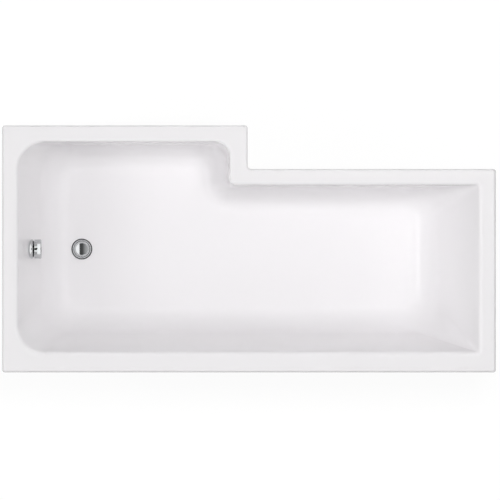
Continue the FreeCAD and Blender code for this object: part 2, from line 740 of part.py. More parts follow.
# Levelling feet: a ribbed pad on studding, locked by a nut above and below the steel.
stem_radius = dims.stem_diameter / 2
socket = stem_radius + dims.thread_fit
for foot, (x, y, steel_top, spare) in feet.items():
    steel_low = steel_top - dims.steel_gauge
    stem_length = steel_top + dims.nut_height + spare - dims.pad_floor
    stem = cylinder(f"foot_stem_{foot}", stem_radius, stem_length, x, y, dims.pad_floor)
    keep(stem, f"foot_stem_{foot}")
    label = f"foot_pad_{foot}"
    pad = turned_body(label, [
        (zero, zero), (dims.pad_diameter / 2, zero), (dims.pad_diameter / 2, dims.pad_edge),
        (dims.pad_neck / 2, dims.pad_edge), (dims.pad_neck / 2, dims.pad_height),
        (socket, dims.pad_height), (socket, dims.pad_floor), (zero, dims.pad_floor)])
    overlap = (dims.pad_neck / 2 + socket) / 2
    web = polygon(pad, f"{label}_web", "XZ_Plane", zero, [
        (overlap, dims.pad_edge / 2), (dims.pad_diameter / 2 - dims.pad_edge / 2, dims.pad_edge / 2),
        (dims.pad_diameter / 2 - dims.pad_edge / 2, dims.pad_edge + dims.rib_thickness / 2),
        (dims.pad_neck / 2 + dims.rib_thickness / 2, dims.pad_height - dims.rib_thickness),
        (overlap, dims.pad_height - dims.rib_thickness)])
    rib = extrude(pad, f"{label}_rib", web, dims.rib_thickness, both=True)
    repeat(pad, f"{label}_ribs", rib, dims.rib_count, 360)
    place(pad, x, y, zero)
    nuts = []
    for level, base in (("upper", steel_top), ("lower", steel_low - dims.nut_height)):
        blank = doc.addObject("Part::Prism", f"nut_blank_{foot}_{level}")
        blank.Polygon = 6
        bind(blank, "Circumradius", dims.nut_flats / Size("sqrt(3)", math.sqrt(3)))
        bind(blank, "Height", dims.nut_height)
        place(blank, x, y, base)
        thread = cylinder(f"nut_bore_{foot}_{level}", socket, dims.nut_height, x, y, base)
        nuts.append(cut(f"nut_{foot}_{level}", blank, thread))
    group(f"lock_nuts_{foot}", nuts)

# Wall brackets: steel angles screwed up into the battens, with two holes for the wall screws.
batten_middle = dims.lip_wall + dims.batten_width / 2
angle_screws = []
angles = {
    "tap": (tap_x, zero, True),
    "left": (tap_x + dims.angle_inset, wall_y, False),
    "right": (slope_x - dims.angle_inset, wall_y, False),
}
for name, (x, y, at_end) in angles.items():
    label = f"wall_bracket_{name}"
    angle = keep(doc.addObject("PartDesign::Body", label), label)
    gauge = dims.steel_gauge
    section = polygon(angle, f"{label}_section", "YZ_Plane", zero, [
        (zero, zero), (zero, -dims.angle_drop), (gauge, -dims.angle_drop), (gauge, -gauge),
        (dims.angle_leg, -gauge), (dims.angle_leg, zero)])
    extrude(angle, f"{label}_folded", section, dims.angle_width, both=True)
    round_edges(angle, f"{label}_bend", dims.steel_bend, line_edges("x", y=zero, z=zero))
    wall_holes = circles(angle, f"{label}_wall_holes", "XZ_Plane", zero, [
        (dims.wall_hole_pitch / 2 * side, -dims.wall_hole_drop, dims.wall_hole / 2) for side in (-1, 1)])
    extrude(angle, f"{label}_wall_drilled", wall_holes, gauge * 2, "Pocket")
    screw_opening = circles(angle, f"{label}_screw_hole", "XY_Plane", zero,
                            [(zero, batten_middle, dims.screw_hole / 2)])
    extrude(angle, f"{label}_screw_drilled", screw_opening, gauge * 2, "Pocket")
    if at_end:
        turn(angle, (0, 0, -1), "90 deg")
    place(angle, x, y, lip_z)
    screw_x, screw_y = (x + batten_middle, y) if at_end else (x, y + batten_middle)
    angle_screws.append(wood_screw(f"angle_screw_{name}", screw_x, screw_y, lip_z - gauge))
group("wall_bracket_screws", angle_screws)

# Waste: a chromed ring with a flat seat, clamped through the floor to a body below, and a guide for
# the plug stem pushed up into its neck. Heights here count from the floor surface of the well.
neck = dims.waste_neck / 2
bore = dims.waste_bore / 2
pocket = dims.plug_pocket / 2
flange = turned_body("waste_flange", [
    (neck, -dims.neck_length), (neck, dims.gasket_thin), (dims.waste_flange / 2, dims.gasket_thin),
    (dims.waste_flange / 2, dims.gasket_thin + dims.flange_edge), (dims.waste_crown / 2, dims.crown_height),
    (pocket, dims.crown_height), (pocket, dims.seat_level), (bore, dims.seat_level), (bore, -dims.neck_length)])
round_edges(flange, "flange_crown", dims.flange_edge, ring_edges(dims.waste_crown / 2, dims.crown_height))
place(flange, waste_x, zero, floor_z)
arm_half = dims.guide_arm / 2
guide_out = bore - dims.slide_fit
arm_reach = guide_out - arm_half
guide = washer("stem_guide", guide_out - dims.guide_arm, guide_out, -dims.guide_level,
               dims.guide_height - dims.guide_level)
arm_outline = polygon(guide, "guide_arm_outline", "XY_Plane", -dims.guide_level, [
    (-arm_reach, -arm_half), (arm_reach, -arm_half), (arm_reach, arm_half), (-arm_reach, arm_half)])
guide_bar = extrude(guide, "guide_bar", arm_outline, dims.guide_height)
repeat(guide, "guide_cross", guide_bar, 2, 90)
hub_outline = circles(guide, "guide_hub_outline", "XY_Plane", -dims.guide_level,
                      [(zero, zero, dims.guide_hub / 2)])
extrude(guide, "guide_hub_pad", hub_outline, dims.guide_height)
guide_hole = circles(guide, "guide_hole", "XY_Plane", dims.guide_height - dims.guide_level,
                     [(zero, zero, dims.plug_stem / 2 + dims.slide_fit)])
extrude(guide, "guide_bored", guide_hole, dims.guide_height * 2, "Pocket")
place(guide, waste_x, zero, floor_z)
flange_seal = washer("waste_flange_seal", dims.waste_hole / 2, dims.waste_flange / 2 + dims.seal_lip, zero,
                     dims.gasket_thin)
place(flange_seal, waste_x, zero, floor_z)
body_top = -(dims.shell_wall + dims.gasket_thick)
body_seal = washer("waste_body_seal", dims.waste_hole / 2, dims.body_barrel / 2, body_top, -dims.shell_wall)
place(body_seal, waste_x, zero, floor_z)

# Pop-up plug: a domed cap with a flat seal over the seat, on a stem through the guide.
cap = pocket - dims.plug_gap
boss = dims.plug_boss / 2
plug = turned_body("plug_cap", [
    (zero, -dims.hub_depth), (dims.plug_hub / 2, -dims.hub_depth), (dims.plug_hub / 2, -dims.boss_depth),
    (boss, -dims.boss_depth), (boss, dims.plug_rim), (cap, dims.plug_rim), (cap, dims.plug_shoulder),
    (zero, dims.plug_top)])
round_edges(plug, "plug_edge", dims.flange_edge, ring_edges(cap, dims.plug_shoulder))
place(plug, waste_x, zero, floor_z)
plug_seal = washer("plug_seal", boss, cap - dims.seal_inset, dims.seat_level + dims.seal_gap, dims.plug_rim)
place(plug_seal, waste_x, zero, floor_z)
stem_foot = (dims.rocker_tip + dims.contact_gap - dims.pivot_depth
             - dims.rocker_arm * sine(dims.rocker_swing))
stem = cylinder("plug_stem", dims.plug_stem / 2, -dims.hub_depth - stem_foot, waste_x, zero, floor_z + stem_foot)
keep(stem, "plug_stem")

# Waste body: neck socket, chamber for the rocker, taper and threaded outlet, with an inlet spigot
# for the overflow hose and a gland for the push rod.
barrel = dims.body_barrel / 2
chamber = barrel - dims.body_wall
neck_step = -(dims.neck_length + dims.pin_seat)
chamber_low = -dims.chamber_depth
tail_top = chamber_low - dims.body_taper
tail_low = tail_top - dims.tail_length
tail = dims.tail_thread / 2
outlet = dims.tail_bore / 2
pivot_y = -dims.rocker_arm
rod_z = -(dims.pivot_depth + dims.rod_drop)
rod = dims.rod_diameter / 2
spigot = dims.spigot_diameter / 2
spigot_hole = dims.spigot_bore / 2
spigot_turn = f"90 deg - {dims.spigot_tilt.text} * 1 deg"
gland = dims.gland_diameter / 2
pin_half = Size(f"sqrt({(chamber * chamber - pivot_y * pivot_y).text})",
                math.sqrt(chamber.number ** 2 - pivot_y.number ** 2)) + dims.pin_seat
waste_solid = fuse("waste_solid", [
    cylinder("body_top_flange", dims.body_flange / 2, dims.flange_height, zero, zero,
             body_top - dims.flange_height),
    cylinder("body_barrel", barrel, body_top - chamber_low, zero, zero, chamber_low),
    cone("body_taper", tail, barrel, dims.body_taper, tail_top),
    cylinder("body_tail", tail, dims.tail_length, zero, zero, tail_low),
    lying("body_spigot", spigot, dims.spigot_reach, zero, zero, -dims.spigot_depth, (0, -1, 0), spigot_turn),
    lying("body_gland", gland, dims.gland_reach, zero, zero, rod_z, (1, 0, 0))])
waste_hollow = fuse("waste_hollow", [
    cylinder("neck_socket", neck + dims.slide_fit, body_top - neck_step, zero, zero, neck_step),
    cylinder("rocker_chamber", chamber, neck_step - chamber_low, zero, zero, chamber_low),
    cone("taper_bore", outlet, chamber, dims.body_taper, tail_top),
    cylinder("outlet_bore", outlet, dims.tail_length, zero, zero, tail_low),
    lying("spigot_hole", spigot_hole, dims.spigot_reach, zero, zero, -dims.spigot_depth, (0, -1, 0), spigot_turn),
    lying("gland_hole", rod + dims.slide_fit, dims.gland_reach, zero, zero, rod_z, (1, 0, 0)),
    lying("pin_hole", dims.rocker_pin / 2, pin_half * 2, -pin_half, pivot_y, -dims.pivot_depth, (0, 1, 0))])
waste_body = keep(cut("waste_body", waste_solid, waste_hollow), "waste_body")
place(waste_body, waste_x, zero, floor_z)

# Rocker, pin and push rod: the rod pushes the lower arm and the long arm lifts the plug stem.
wide = dims.rocker_width
rocker_solid = fuse("rocker_solid", [
    lying("rocker_boss", dims.rocker_hub / 2, dims.hub_width, -dims.hub_width / 2, zero, zero, (0, 1, 0)),
    box("rocker_long_arm", wide, dims.rocker_arm, dims.rocker_tip * 1.4, -wide / 2, zero, -dims.rocker_tip * 0.7),
    lying("rocker_end", dims.rocker_tip, wide, -wide / 2, dims.rocker_arm, zero, (0, 1, 0)),
    box("rocker_low_arm", wide, dims.crank_thickness, dims.rod_drop + dims.crank_past, -wide / 2,
        -dims.crank_thickness / 2, -(dims.rod_drop + dims.crank_past))])
rocker_bore = lying("rocker_bore", dims.rocker_pin / 2 + dims.pivot_fit, dims.hub_width, -dims.hub_width / 2,
                    zero, zero, (0, 1, 0))
rocker = keep(cut("rocker", rocker_solid, rocker_bore), "rocker")
turn(rocker, (-1, 0, 0), f"{dims.rocker_swing.text} * 1 deg")
place(rocker, waste_x, pivot_y, floor_z - dims.pivot_depth)
keep(lying("rocker_pin", dims.rocker_pin / 2, pin_half * 2, waste_x - pin_half, pivot_y,
           floor_z - dims.pivot_depth, (0, 1, 0)), "rocker_pin")
rod_tip = (pivot_y - dims.rod_drop * tangent(dims.rocker_swing)
           - (dims.crank_thickness / 2 + rod + dims.contact_gap) / cosine(dims.rocker_swing))
rod_back = dims.gland_reach - dims.contact_gap
rod_end = doc.addObject("Part::Sphere", "rod_end")
bind(rod_end, "Radius", rod)
place(rod_end, waste_x, rod_tip, floor_z + rod_z)
rod_shaft = lying("rod_shaft", rod, rod_tip + rod_back, waste_x, -rod_back, floor_z + rod_z, (-1, 0, 0))
keep(fuse("push_rod", [rod_shaft, rod_end]), "push_rod")

# Overflow: a chromed plate screwed through the wall into a cup behind it. Its axis is level, so the
# plate is a wedge that is cut to the leaning wall, and so is the seal behind the wall. Heights here
# count along the axis from the wall surface.
def wall_slice(body, name, reach, level, keep_front):
    """Cuts a body back to the plane of the leaning wall, moved along the axis by a level."""
    side = reach * 2
    far = side if not keep_front else -side
    outline = polygon(body, f"{name}_outline", "XZ_Plane", zero, [
        (-side, level - side * slant), (side, level + side * slant), (side, level + far), (-side, level + far)])
    extrude(body, name, outline, side * 2, "Pocket", both=True)


cup_face = -(dims.shell_wall + dims.gasket_thick + dims.cup_flange / 2 * slant)
shaft = dims.spindle_diameter / 2
bush = dims.bush_diameter / 2
neck_out = dims.overflow_neck / 2
neck_in = neck_out - dims.neck_wall
neck_low = cup_face - dims.neck_grip
plate_out = dims.overflow_flange / 2
plate_front = plate_out * slant + dims.plate_edge
dish = plate_front + dims.dish_height
web = dish - dims.plate_web
hub_front = plate_front + dims.hub_height
plate = turned_body("overflow_flange", [
    (neck_in, -plate_out * slant), (plate_out, -plate_out * slant), (plate_out, plate_front),
    (dims.plate_shoulder / 2, plate_front + dims.shoulder_height), (dims.plate_dish / 2, dish), (bush, dish),
    (bush, web), (neck_in, web)])
wall_slice(plate, "plate_slice", plate_out, zero, True)
turned_rib(plate, "plate_neck", [
    (neck_in, neck_low), (neck_out, neck_low), (neck_out, web), (neck_in, web)])
turned_rib(plate, "plate_bush", [
    (shaft + dims.pivot_fit, dish - dims.bush_drop), (bush, dish - dims.bush_drop), (bush, dish),
    (dims.plate_hub / 2, dish), (dims.plate_hub / 2, hub_front), (shaft + dims.pivot_fit, hub_front)])
slot = circles(plate, "water_hole", "XY_Plane", hub_front,
               [(dims.slot_circle / 2, zero, dims.slot_diameter / 2)])
slot_cut = extrude(plate, "water_cut", slot, hub_front, "Pocket")
repeat(plate, "water_holes", slot_cut, dims.slot_count, 360)
on_overflow(plate)
overflow_seal = washer("overflow_seal", dims.overflow_hole / 2, dims.cup_barrel / 2, cup_face, zero)
wall_slice(overflow_seal, "seal_slice", dims.cup_barrel / 2, -dims.shell_wall, False)
on_overflow(overflow_seal)
cup = dims.cup_barrel / 2
cup_in = cup - dims.body_wall
cup_back = cup_face - dims.cup_depth
cup_floor = cup_back + dims.body_wall
cup_axis = cup_face - dims.cup_depth / 2
cup_solid = fuse("cup_solid", [
    cylinder("cup_flange", dims.cup_flange / 2, dims.flange_height, zero, zero, cup_face - dims.flange_height),
    cylinder("cup_barrel", cup, dims.cup_depth, zero, zero, cup_back),
    lying("cup_spigot", spigot, dims.spigot_reach, zero, zero, cup_axis, (0, 1, 0)),
    lying("cup_gland", gland, dims.gland_reach, zero, zero, cup_axis, (1, 0, 0))])
cup_hollow = fuse("cup_hollow", [
    cylinder("cup_mouth", neck_out + dims.slide_fit, dims.neck_grip, zero, zero, neck_low),
    cylinder("cup_chamber", cup_in, neck_low - cup_floor, zero, zero, cup_floor),
    lying("cup_spigot_hole", spigot_hole, dims.spigot_reach, zero, zero, cup_axis, (0, 1, 0)),
    lying("cup_gland_hole", rod + dims.slide_fit, dims.gland_reach, zero, zero, cup_axis, (1, 0, 0))])
on_overflow(keep(cut("overflow_body", cup_solid, cup_hollow), "overflow_body"))

# Knob and spindle: the spindle turns in the plate and its drive pin works the cable in the cup.
knob_out = dims.knob_diameter / 2
knob_in = knob_out - dims.knob_wall
knob_face = plate_front + dims.knob_front
knob_inside = knob_face - dims.knob_plate
knob_back = plate_front + dims.knob_back
hub_back = plate_front + dims.knob_hub_back
socket_end = plate_front + dims.knob_socket
knob = turned_body("overflow_knob", [
    (shaft + dims.pivot_fit, hub_back), (dims.knob_hub / 2, hub_back), (dims.knob_hub / 2, knob_inside),
    (knob_in, knob_inside), (knob_in, knob_back), (knob_out, knob_back),
    (knob_out, knob_face - dims.knob_chamfer), (knob_out - dims.knob_chamfer, knob_face - dims.knob_chamfer * 0.3),
    (zero, knob_face), (zero, socket_end), (shaft + dims.pivot_fit, socket_end)])
on_overflow(knob)
disc_low = cup_face - dims.crank_depth
spindle = keep(fuse("knob_spindle", [
    cylinder("spindle_shaft", shaft, socket_end - disc_low, zero, zero, disc_low),
    cylinder("spindle_disc", dims.crank_disc / 2, dims.disc_thickness, zero, zero, disc_low),
    cylinder("spindle_drive", dims.drive_pin / 2, dims.drive_length, zero, -dims.crank_radius,
             disc_low - dims.drive_length)]), "knob_spindle")
on_overflow(spindle)

# Overflow hose: plain cuffs on the two spigots and ribs between, down behind the wall and round
# under the tub in one plane, in a bend no wider than the one that follows the tub's sweep.
down = Vector(0, 0, -1)
cup_centre = Vector((overflow_x + cup_axis).number, 0, overflow_z.number)
tilt = math.radians(dims.spigot_tilt.number)
up_spigot = Vector(-math.cos(tilt), 0, math.sin(tilt))
inlet_centre = Vector(waste_x.number, 0, (floor_z - dims.spigot_depth).number)
hose_top = cup_centre + down * dims.spigot_reach.number
hose_end = inlet_centre + up_spigot * dims.spigot_reach.number


def crossing(first, first_heading, second, second_heading):
    """Where two lines in the XZ plane meet."""
    gap = second - first
    area = first_heading.x * second_heading.z - first_heading.z * second_heading.x
    return first + first_heading * ((gap.x * second_heading.z - gap.z * second_heading.x) / area)


def rounded_path(points, reaches):
    """A wire of straight runs joined by tangent arcs; a reach is an arc's run along each leg."""
    edges = []
    start = points[0]
    for before, corner, after, reach in zip(points, points[1:], points[2:], reaches):
        back = (before - corner).normalize()
        ahead = (after - corner).normalize()
        first = corner + back * reach
        last = corner + ahead * reach
        half_turn = (math.pi - back.getAngle(ahead)) / 2
        radius = reach / math.tan(half_turn)
        centre = corner + (back + ahead).normalize() * math.hypot(reach, radius)
        middle = centre + (corner - centre).normalize() * radius
        edges.append(Part.LineSegment(start, first).toShape())
        edges.append(Part.Arc(first, middle, last).toShape())
        start = last
    edges.append(Part.LineSegment(start, points[-1]).toShape())
    return Part.Wire(edges)


def ring_at(wire, distance, radius, side):
    """A circle across the wire at a distance along it, on a steady side direction."""
    edges = wire.OrderedEdges
    while distance > edges[0].Length + 1e-6 and len(edges) > 1:
        distance -= edges[0].Length
        edges = edges[1:]
    edge = edges[0]
    spot = edge.getParameterByLength(min(distance, edge.Length))
    heading = edge.tangentAt(spot)
    across = heading.cross(side)
    circle = Part.Circle(Vector(0, 0, 0), SHARP, radius)
    ring = Part.Wire(circle.toShape())
    ring.Placement = Placement(edge.valueAt(spot), Rotation(side, across, heading, "ZXY"))
    return ring


hose_corner = crossing(hose_top, down, hose_end, up_spigot)
follow = (sweep + dims.shell_wall + dims.gasket_thick + dims.cup_depth / 2).number
half_bend = down.getAngle(up_spigot.negative()) / 2
hose_reach = min((hose_corner - hose_end).Length - dims.hose_straight.number, follow * math.tan(half_bend))
hose_path = rounded_path([hose_top, hose_corner, hose_end], [hose_reach])
steady = Vector(0, 1, 0)
crest, valley = dims.hose_outside.number / 2, dims.hose_valley.number / 2
ribbed = hose_path.Length - 2 * dims.hose_cuff.number
rib_total = int(ribbed / dims.rib_pitch.number)
pitch = ribbed / rib_total
rings = [ring_at(hose_path, 0, valley, steady)]
for i in range(rib_total):
    start = dims.hose_cuff.number + i * pitch
    for share, radius in ((0.12, valley), (0.3, crest), (0.7, crest), (0.88, valley)):
        rings.append(ring_at(hose_path, start + share * pitch, radius, steady))
rings.append(ring_at(hose_path, hose_path.Length, valley, steady))
hose_solid = Part.makeLoft(rings, True, True)
hose_hole = hose_path.makePipeShell([ring_at(hose_path, 0, dims.hose_bore.number / 2, steady)], True, True)
hose = keep(doc.addObject("Part::Feature", "overflow_hose"), "overflow_hose")
hose.Shape = hose_solid.cut(hose_hole)


def collar(label, sides, flats, hole, length, start, heading):
    """A faceted nut with a plain bore, from a start point along a heading."""
    blank = doc.addObject("Part::Prism", f"{label}_blank")
    bind(blank, "Polygon", sides)
    bind(blank, "Circumradius", flats / 2)
    bind(blank, "Height", length)
    nut = keep(cut(label, blank, cylinder(f"{label}_bore", hole, length, zero, zero, zero)), label)
    nut.Placement = Placement(start, Rotation(SHARP, heading))


nut_hole = spigot + dims.slide_fit
grip = dims.hose_nut_grip.number
collar("hose_nut_upper", dims.hose_nut_sides, dims.hose_nut_flats, nut_hole, dims.hose_nut_length,
       hose_top - down * grip, down)
collar("hose_nut_lower", dims.hose_nut_sides, dims.hose_nut_flats, nut_hole, dims.hose_nut_length,
       hose_end - up_spigot * grip, up_spigot)

# Control cable: a sheathed push cable from the cup to the waste gland, with a nut at each end.
sheath = dims.cable_diameter / 2
nut_length = dims.cable_nut_length.number
outward = Vector(0, -1, 0)
upper_gland = cup_centre + outward * dims.gland_reach.number
lower_gland = Vector(waste_x.number, 0, (floor_z + rod_z).number) + outward * dims.gland_reach.number
collar("cable_nut_upper", 6, dims.cable_nut_flats, rod + dims.slide_fit, dims.cable_nut_length,
       upper_gland, outward)
collar("cable_nut_lower", 6, dims.cable_nut_flats, rod + dims.slide_fit, dims.cable_nut_length,
       lower_gland, outward)
cable_top = upper_gland + outward * nut_length
cable_end = lower_gland + outward * nut_length
cable_side = outward * dims.cable_bow.number
cable_points = [
    cable_top,
    cable_top + cable_side,
    cable_top + cable_side + down * dims.cable_fall.number,
    cable_end + cable_side,
    cable_end,
]
runs = [(b - a).Length for a, b in zip(cable_points, cable_points[1:])]
reaches = [0.45 * min(a, b) for a, b in zip(runs, runs[1:])]
cable_path = rounded_path(cable_points, reaches)
cable = keep(doc.addObject("Part::Feature", "control_cable"), "control_cable")
cable.Shape = cable_path.makePipeShell([ring_at(cable_path, 0, sheath.number, steady)], True, True)

doc.recompute()
os.makedirs("parts", exist_ok=True)
for thing in doc.Objects:
    if "Invalid" in thing.State or "Error" in thing.State:
        raise RuntimeError(f"{thing.Name} failed to build")
for thing in parts:
    shape = thing.Shape
    if shape.isNull() or not shape.isValid() or not shape.Solids:
        raise RuntimeError(f"{thing.Label} has no valid solid")
    shape.exportStep(f"parts/{thing.Label}.step")
    print(f"{thing.Label}: {len(shape.Solids)} solid, {shape.Volume / 1000:.1f} cm3")
print(f"hose {hose_path.Length:.0f} mm, cable {cable_path.Length:.0f} mm, {len(parts)} sub-parts")
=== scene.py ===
import bmesh
import bpy
import numpy as np
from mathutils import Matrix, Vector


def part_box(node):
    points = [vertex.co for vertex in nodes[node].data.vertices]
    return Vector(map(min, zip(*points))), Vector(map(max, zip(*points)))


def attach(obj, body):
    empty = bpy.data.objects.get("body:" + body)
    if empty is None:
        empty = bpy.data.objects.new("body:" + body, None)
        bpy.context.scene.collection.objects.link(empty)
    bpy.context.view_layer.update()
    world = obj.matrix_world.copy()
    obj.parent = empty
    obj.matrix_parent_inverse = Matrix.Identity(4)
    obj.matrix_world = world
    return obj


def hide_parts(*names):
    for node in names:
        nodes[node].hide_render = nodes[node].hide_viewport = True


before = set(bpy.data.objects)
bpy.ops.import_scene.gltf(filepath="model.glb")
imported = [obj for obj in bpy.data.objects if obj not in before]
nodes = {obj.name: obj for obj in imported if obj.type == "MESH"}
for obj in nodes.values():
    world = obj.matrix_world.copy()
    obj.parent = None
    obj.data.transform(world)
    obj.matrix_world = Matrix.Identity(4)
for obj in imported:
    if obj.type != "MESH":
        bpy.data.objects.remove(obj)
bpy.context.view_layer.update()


# The tub: one sheet of white acrylic, drawn by vacuum over an L-shaped mould while it is hot. Its edge
# is turned down all round as a lip, and its back is sprayed with glass fibre in resin.
class Finish:
    """A value in a material's node tree. Signs between two of them, or one and a number, add Math
    nodes, blend() mixes two colours by it, and node() adds a node of any other kind."""

    def __init__(self, tree, socket=None):
        self.tree = tree
        self.socket = socket

    def node(self, kind, sockets, out=0, stops=(), **settings):
        made = self.tree.nodes.new("ShaderNode" + kind)
        for name, value in settings.items():
            setattr(made, name, value)
        for number, (position, colour) in enumerate(stops):
            ramp = made.color_ramp.elements
            stop = ramp[number] if number < len(ramp) else ramp.new(position)
            stop.position = position
            stop.color = (*colour, 1)
        for name, value in sockets.items():
            if isinstance(value, Finish):
                self.tree.links.new(value.socket, made.inputs[name])
            else:
                made.inputs[name].default_value = value
        return Finish(self.tree, made.outputs[out] if made.outputs else None)

    def math(self, operation, first, second):
        return self.node("Math", {0: first, 1: second}, operation=operation)

    def blend(self, first, second):
        first = first if isinstance(first, Finish) else (*first, 1)
        second = second if isinstance(second, Finish) else (*second, 1)
        return self.node("Mix", {0: self, 6: first, 7: second}, out=2, data_type="RGBA")

    def __add__(self, other):
        return self.math("ADD", self, other)

    def __sub__(self, other):
        return self.math("SUBTRACT", self, other)

    def __rsub__(self, other):
        return self.math("SUBTRACT", other, self)

    def __mul__(self, other):
        return self.math("MULTIPLY", self, other)

    __radd__ = __add__
    __rmul__ = __mul__


def open_finish(name):
    """Starts a material with an empty tree, and gives it with its Object coordinates, in metres."""
    material = bpy.data.materials.new(name)
    material.use_nodes = True
    material.node_tree.nodes.clear()
    return material, Finish(material.node_tree).node("TexCoord", {}, out="Object")


def close_finish(place, colour, rough, relief, depth, metal=0.0, gleam=0.5):
    """Ends a material in one shader. The bump is relief, from 0 to 1, times depth in metres."""
    sockets = {"Base Color": colour, "Roughness": rough, "Metallic": metal, "Specular IOR Level": gleam}
    sockets["Normal"] = place.node("Bump", {"Height": relief, "Distance": depth, "Strength": 1.0})
    place.node("OutputMaterial", {"Surface": place.node("BsdfPrincipled", sockets)})


CREASE = 32.0


def skin(name, grids, finishes, ring=True, split=None, crease=CREASE):
    """Covers grids of points, each rows by columns in mm, with quads. Columns close on themselves, and
    rows do where ring is true. Quads from row number split on take the second finish, and edges that
    bend by more than crease, in degrees, stay sharp."""
    corners = []
    first = 0
    for grid in grids:
        rows, columns = grid.shape[:2]
        index = first + np.arange(rows * columns).reshape(rows, columns)
        index = np.concatenate([index, index[:1]]) if ring else index
        index = np.concatenate([index, index[:, :1]], axis=1)
        quad = np.stack([index[:-1, :-1], index[:-1, 1:], index[1:, 1:], index[1:, :-1]], axis=-1)
        corners.append(quad.reshape(-1, 4))
        first += rows * columns
    quads = np.concatenate(corners)
    mesh = bpy.data.meshes.new(name)
    mesh.from_pydata(np.concatenate([grid.reshape(-1, 3) for grid in grids]).tolist(), [], quads.tolist())
    if split is not None:
        past = np.arange(len(quads)) >= split * grids[0].shape[1]
        mesh.polygons.foreach_set("material_index", past.astype(np.int32))
    form = bmesh.new()
    form.from_mesh(mesh)
    bmesh.ops.scale(form, verts=form.verts, vec=(0.001, 0.001, 0.001))
    bmesh.ops.remove_doubles(form, verts=form.verts, dist=1e-7)
    if form.calc_volume(signed=True) < 0:
        bmesh.ops.reverse_faces(form, faces=form.faces)
    form.to_mesh(mesh)
    form.free()
    mesh.shade_smooth()
    mesh.set_sharp_from_angle(angle=np.radians(crease))
    for finish in finishes:
        mesh.materials.append(finish)
    piece = bpy.data.objects.new(name, mesh)
    bpy.context.scene.collection.objects.link(piece)
    return piece


UPRIGHT = np.eye(3)


def turned(profile, at, axes=UPRIGHT, columns=96):
    """Turns a profile of radius and height about an axis: x and y are the radius times the cosine and
    sine of the angle, z is the height, then the axes' rows carry x, y and z into place at a point."""
    angle = np.linspace(0, 2 * np.pi, columns, endpoint=False)
    radius, height = profile[:, :1], profile[:, 1:]
    local = np.stack([radius * np.cos(angle), radius * np.sin(angle), height + 0 * angle], axis=-1)
    return local @ axes + np.array(at)


def drill(piece, drills):
    """Takes each closed drill away from a piece, and keeps what is left as the piece's own mesh."""
    for tool in drills:
        cut = piece.modifiers.new("drill", "BOOLEAN")
        cut.object = tool
        cut.solver = "EXACT"
    drilled = bpy.data.meshes.new_from_object(piece.evaluated_get(bpy.context.evaluated_depsgraph_get()))
    drilled.set_sharp_from_angle(angle=np.radians(CREASE))
    piece.modifiers.clear()
    piece.data = drilled
    for tool in drills:
        bpy.data.objects.remove(tool)


# Sides in order: showering end, wall, sloping end, narrow front, step, wide front. Corner number n
# joins side n to side n + 1, and corner 3 is the nose that juts into the well.
EDGE = np.array([-850.0, -425.0, 850.0, 275.0, -5.0, 425.0])
INWARD = np.array([1.0, 1.0, -1.0, -1.0, -1.0, -1.0])
RIM = np.array([53.0, 70.0, 57.0, 54.0, 63.0, 56.0])
RUN = np.array([105.0, 90.0, 179.0, 15.0, 16.0, 17.0])
BACK_RIM = np.array([45.0, 55.0, 48.0, 41.0, 57.0, 45.0])
BACK_RUN = np.array([105.0, 97.0, 180.0, 20.0, 14.0, 20.0])
ROLL = np.array([13.0, 18.0, 18.0, 10.0, 12.0, 10.0])
WELL_CORNER = np.array([95.0, 8.0, 8.0, 22.0, 50.0, 95.0])
FLOOR_CORNER = np.array([125.0, 110.0, 110.0, 30.0, 98.0, 125.0])
TURN = np.array([1.0, 1.0, 1.0, -1.0, 1.0, 1.0])
BOW = np.array([1.0, 1.0, 1.0, 2.0, 2.0, 2.0])
REACH = np.array([1.6, 1.6, 1.6, 2.0, 2.0, 2.0])
RIM_Z, FLOOR_Z, DEPTH, WALL = 550.0, 150.0, 400.0, 8.0
SWEEP, EDGE_ROLL = 95.0, 8.0
LIP_DRAFT = np.array([2.0, 2.0, 2.0, 0.0, 0.0, 0.0])
LIP_Z, LIP_WALL = 510.0, 5.0
WASTE = np.array([-578.0, 0.0])
WASTE_HOLE = 25.5
LEAN = np.arctan(RUN / DEPTH)
BACK_LEAN = np.arctan(BACK_RUN / DEPTH)


def round_the_l(inset, height, radius, arc_points=20, side_points=28):
    """Carries rows of points round the L. Each side is a straight line at its inset from the outer edge,
    quarter circles of the given radii join them, and the height runs evenly from side to side there."""
    line = EDGE + INWARD * inset
    middle_x = line[:, [0, 2, 2, 4, 4, 0]] + radius * np.array([1, -1, -1, 1, -1, 1])
    middle_y = line[:, [1, 1, 3, 3, 5, 5]] + radius * np.array([1, 1, -1, 1, -1, -1])
    step = np.linspace(0, 1, arc_points)
    angle = np.radians(np.array([180, 270, 0, 270, 0, 90]))[:, None] + np.outer(TURN, step) * np.pi / 2
    rise = np.roll(height, -1, axis=1) - height
    arc = np.stack([middle_x[..., None] + radius[..., None] * np.cos(angle),
                    middle_y[..., None] + radius[..., None] * np.sin(angle),
                    height[..., None] + rise[..., None] * step], axis=-1)
    t = np.linspace(0, 1, side_points + 2)[1:-1, None]
    ahead = np.roll(arc[:, :, :1], -1, axis=1)
    side = arc[:, :, -1:] * (1 - t) + ahead * t
    return np.concatenate([arc, side], axis=2).reshape(len(inset), -1, 3)


def both_sides(values):
    """The mean over the two sides that meet in each corner."""
    return (values + np.roll(values, -1, axis=1)) / 2


def well_rows(inset, height):
    """Rows of the well: the corner radius runs evenly from rim to floor, less what the row stands
    inside the leaning wall, and more on the nose."""
    fall = (RIM_Z - height) / DEPTH
    past = both_sides(inset - RIM - RUN * fall)
    share = both_sides(fall)
    radius = WELL_CORNER + (FLOOR_CORNER - WELL_CORNER) * share - TURN * past
    return round_the_l(inset, height, np.maximum(radius, 1.5))


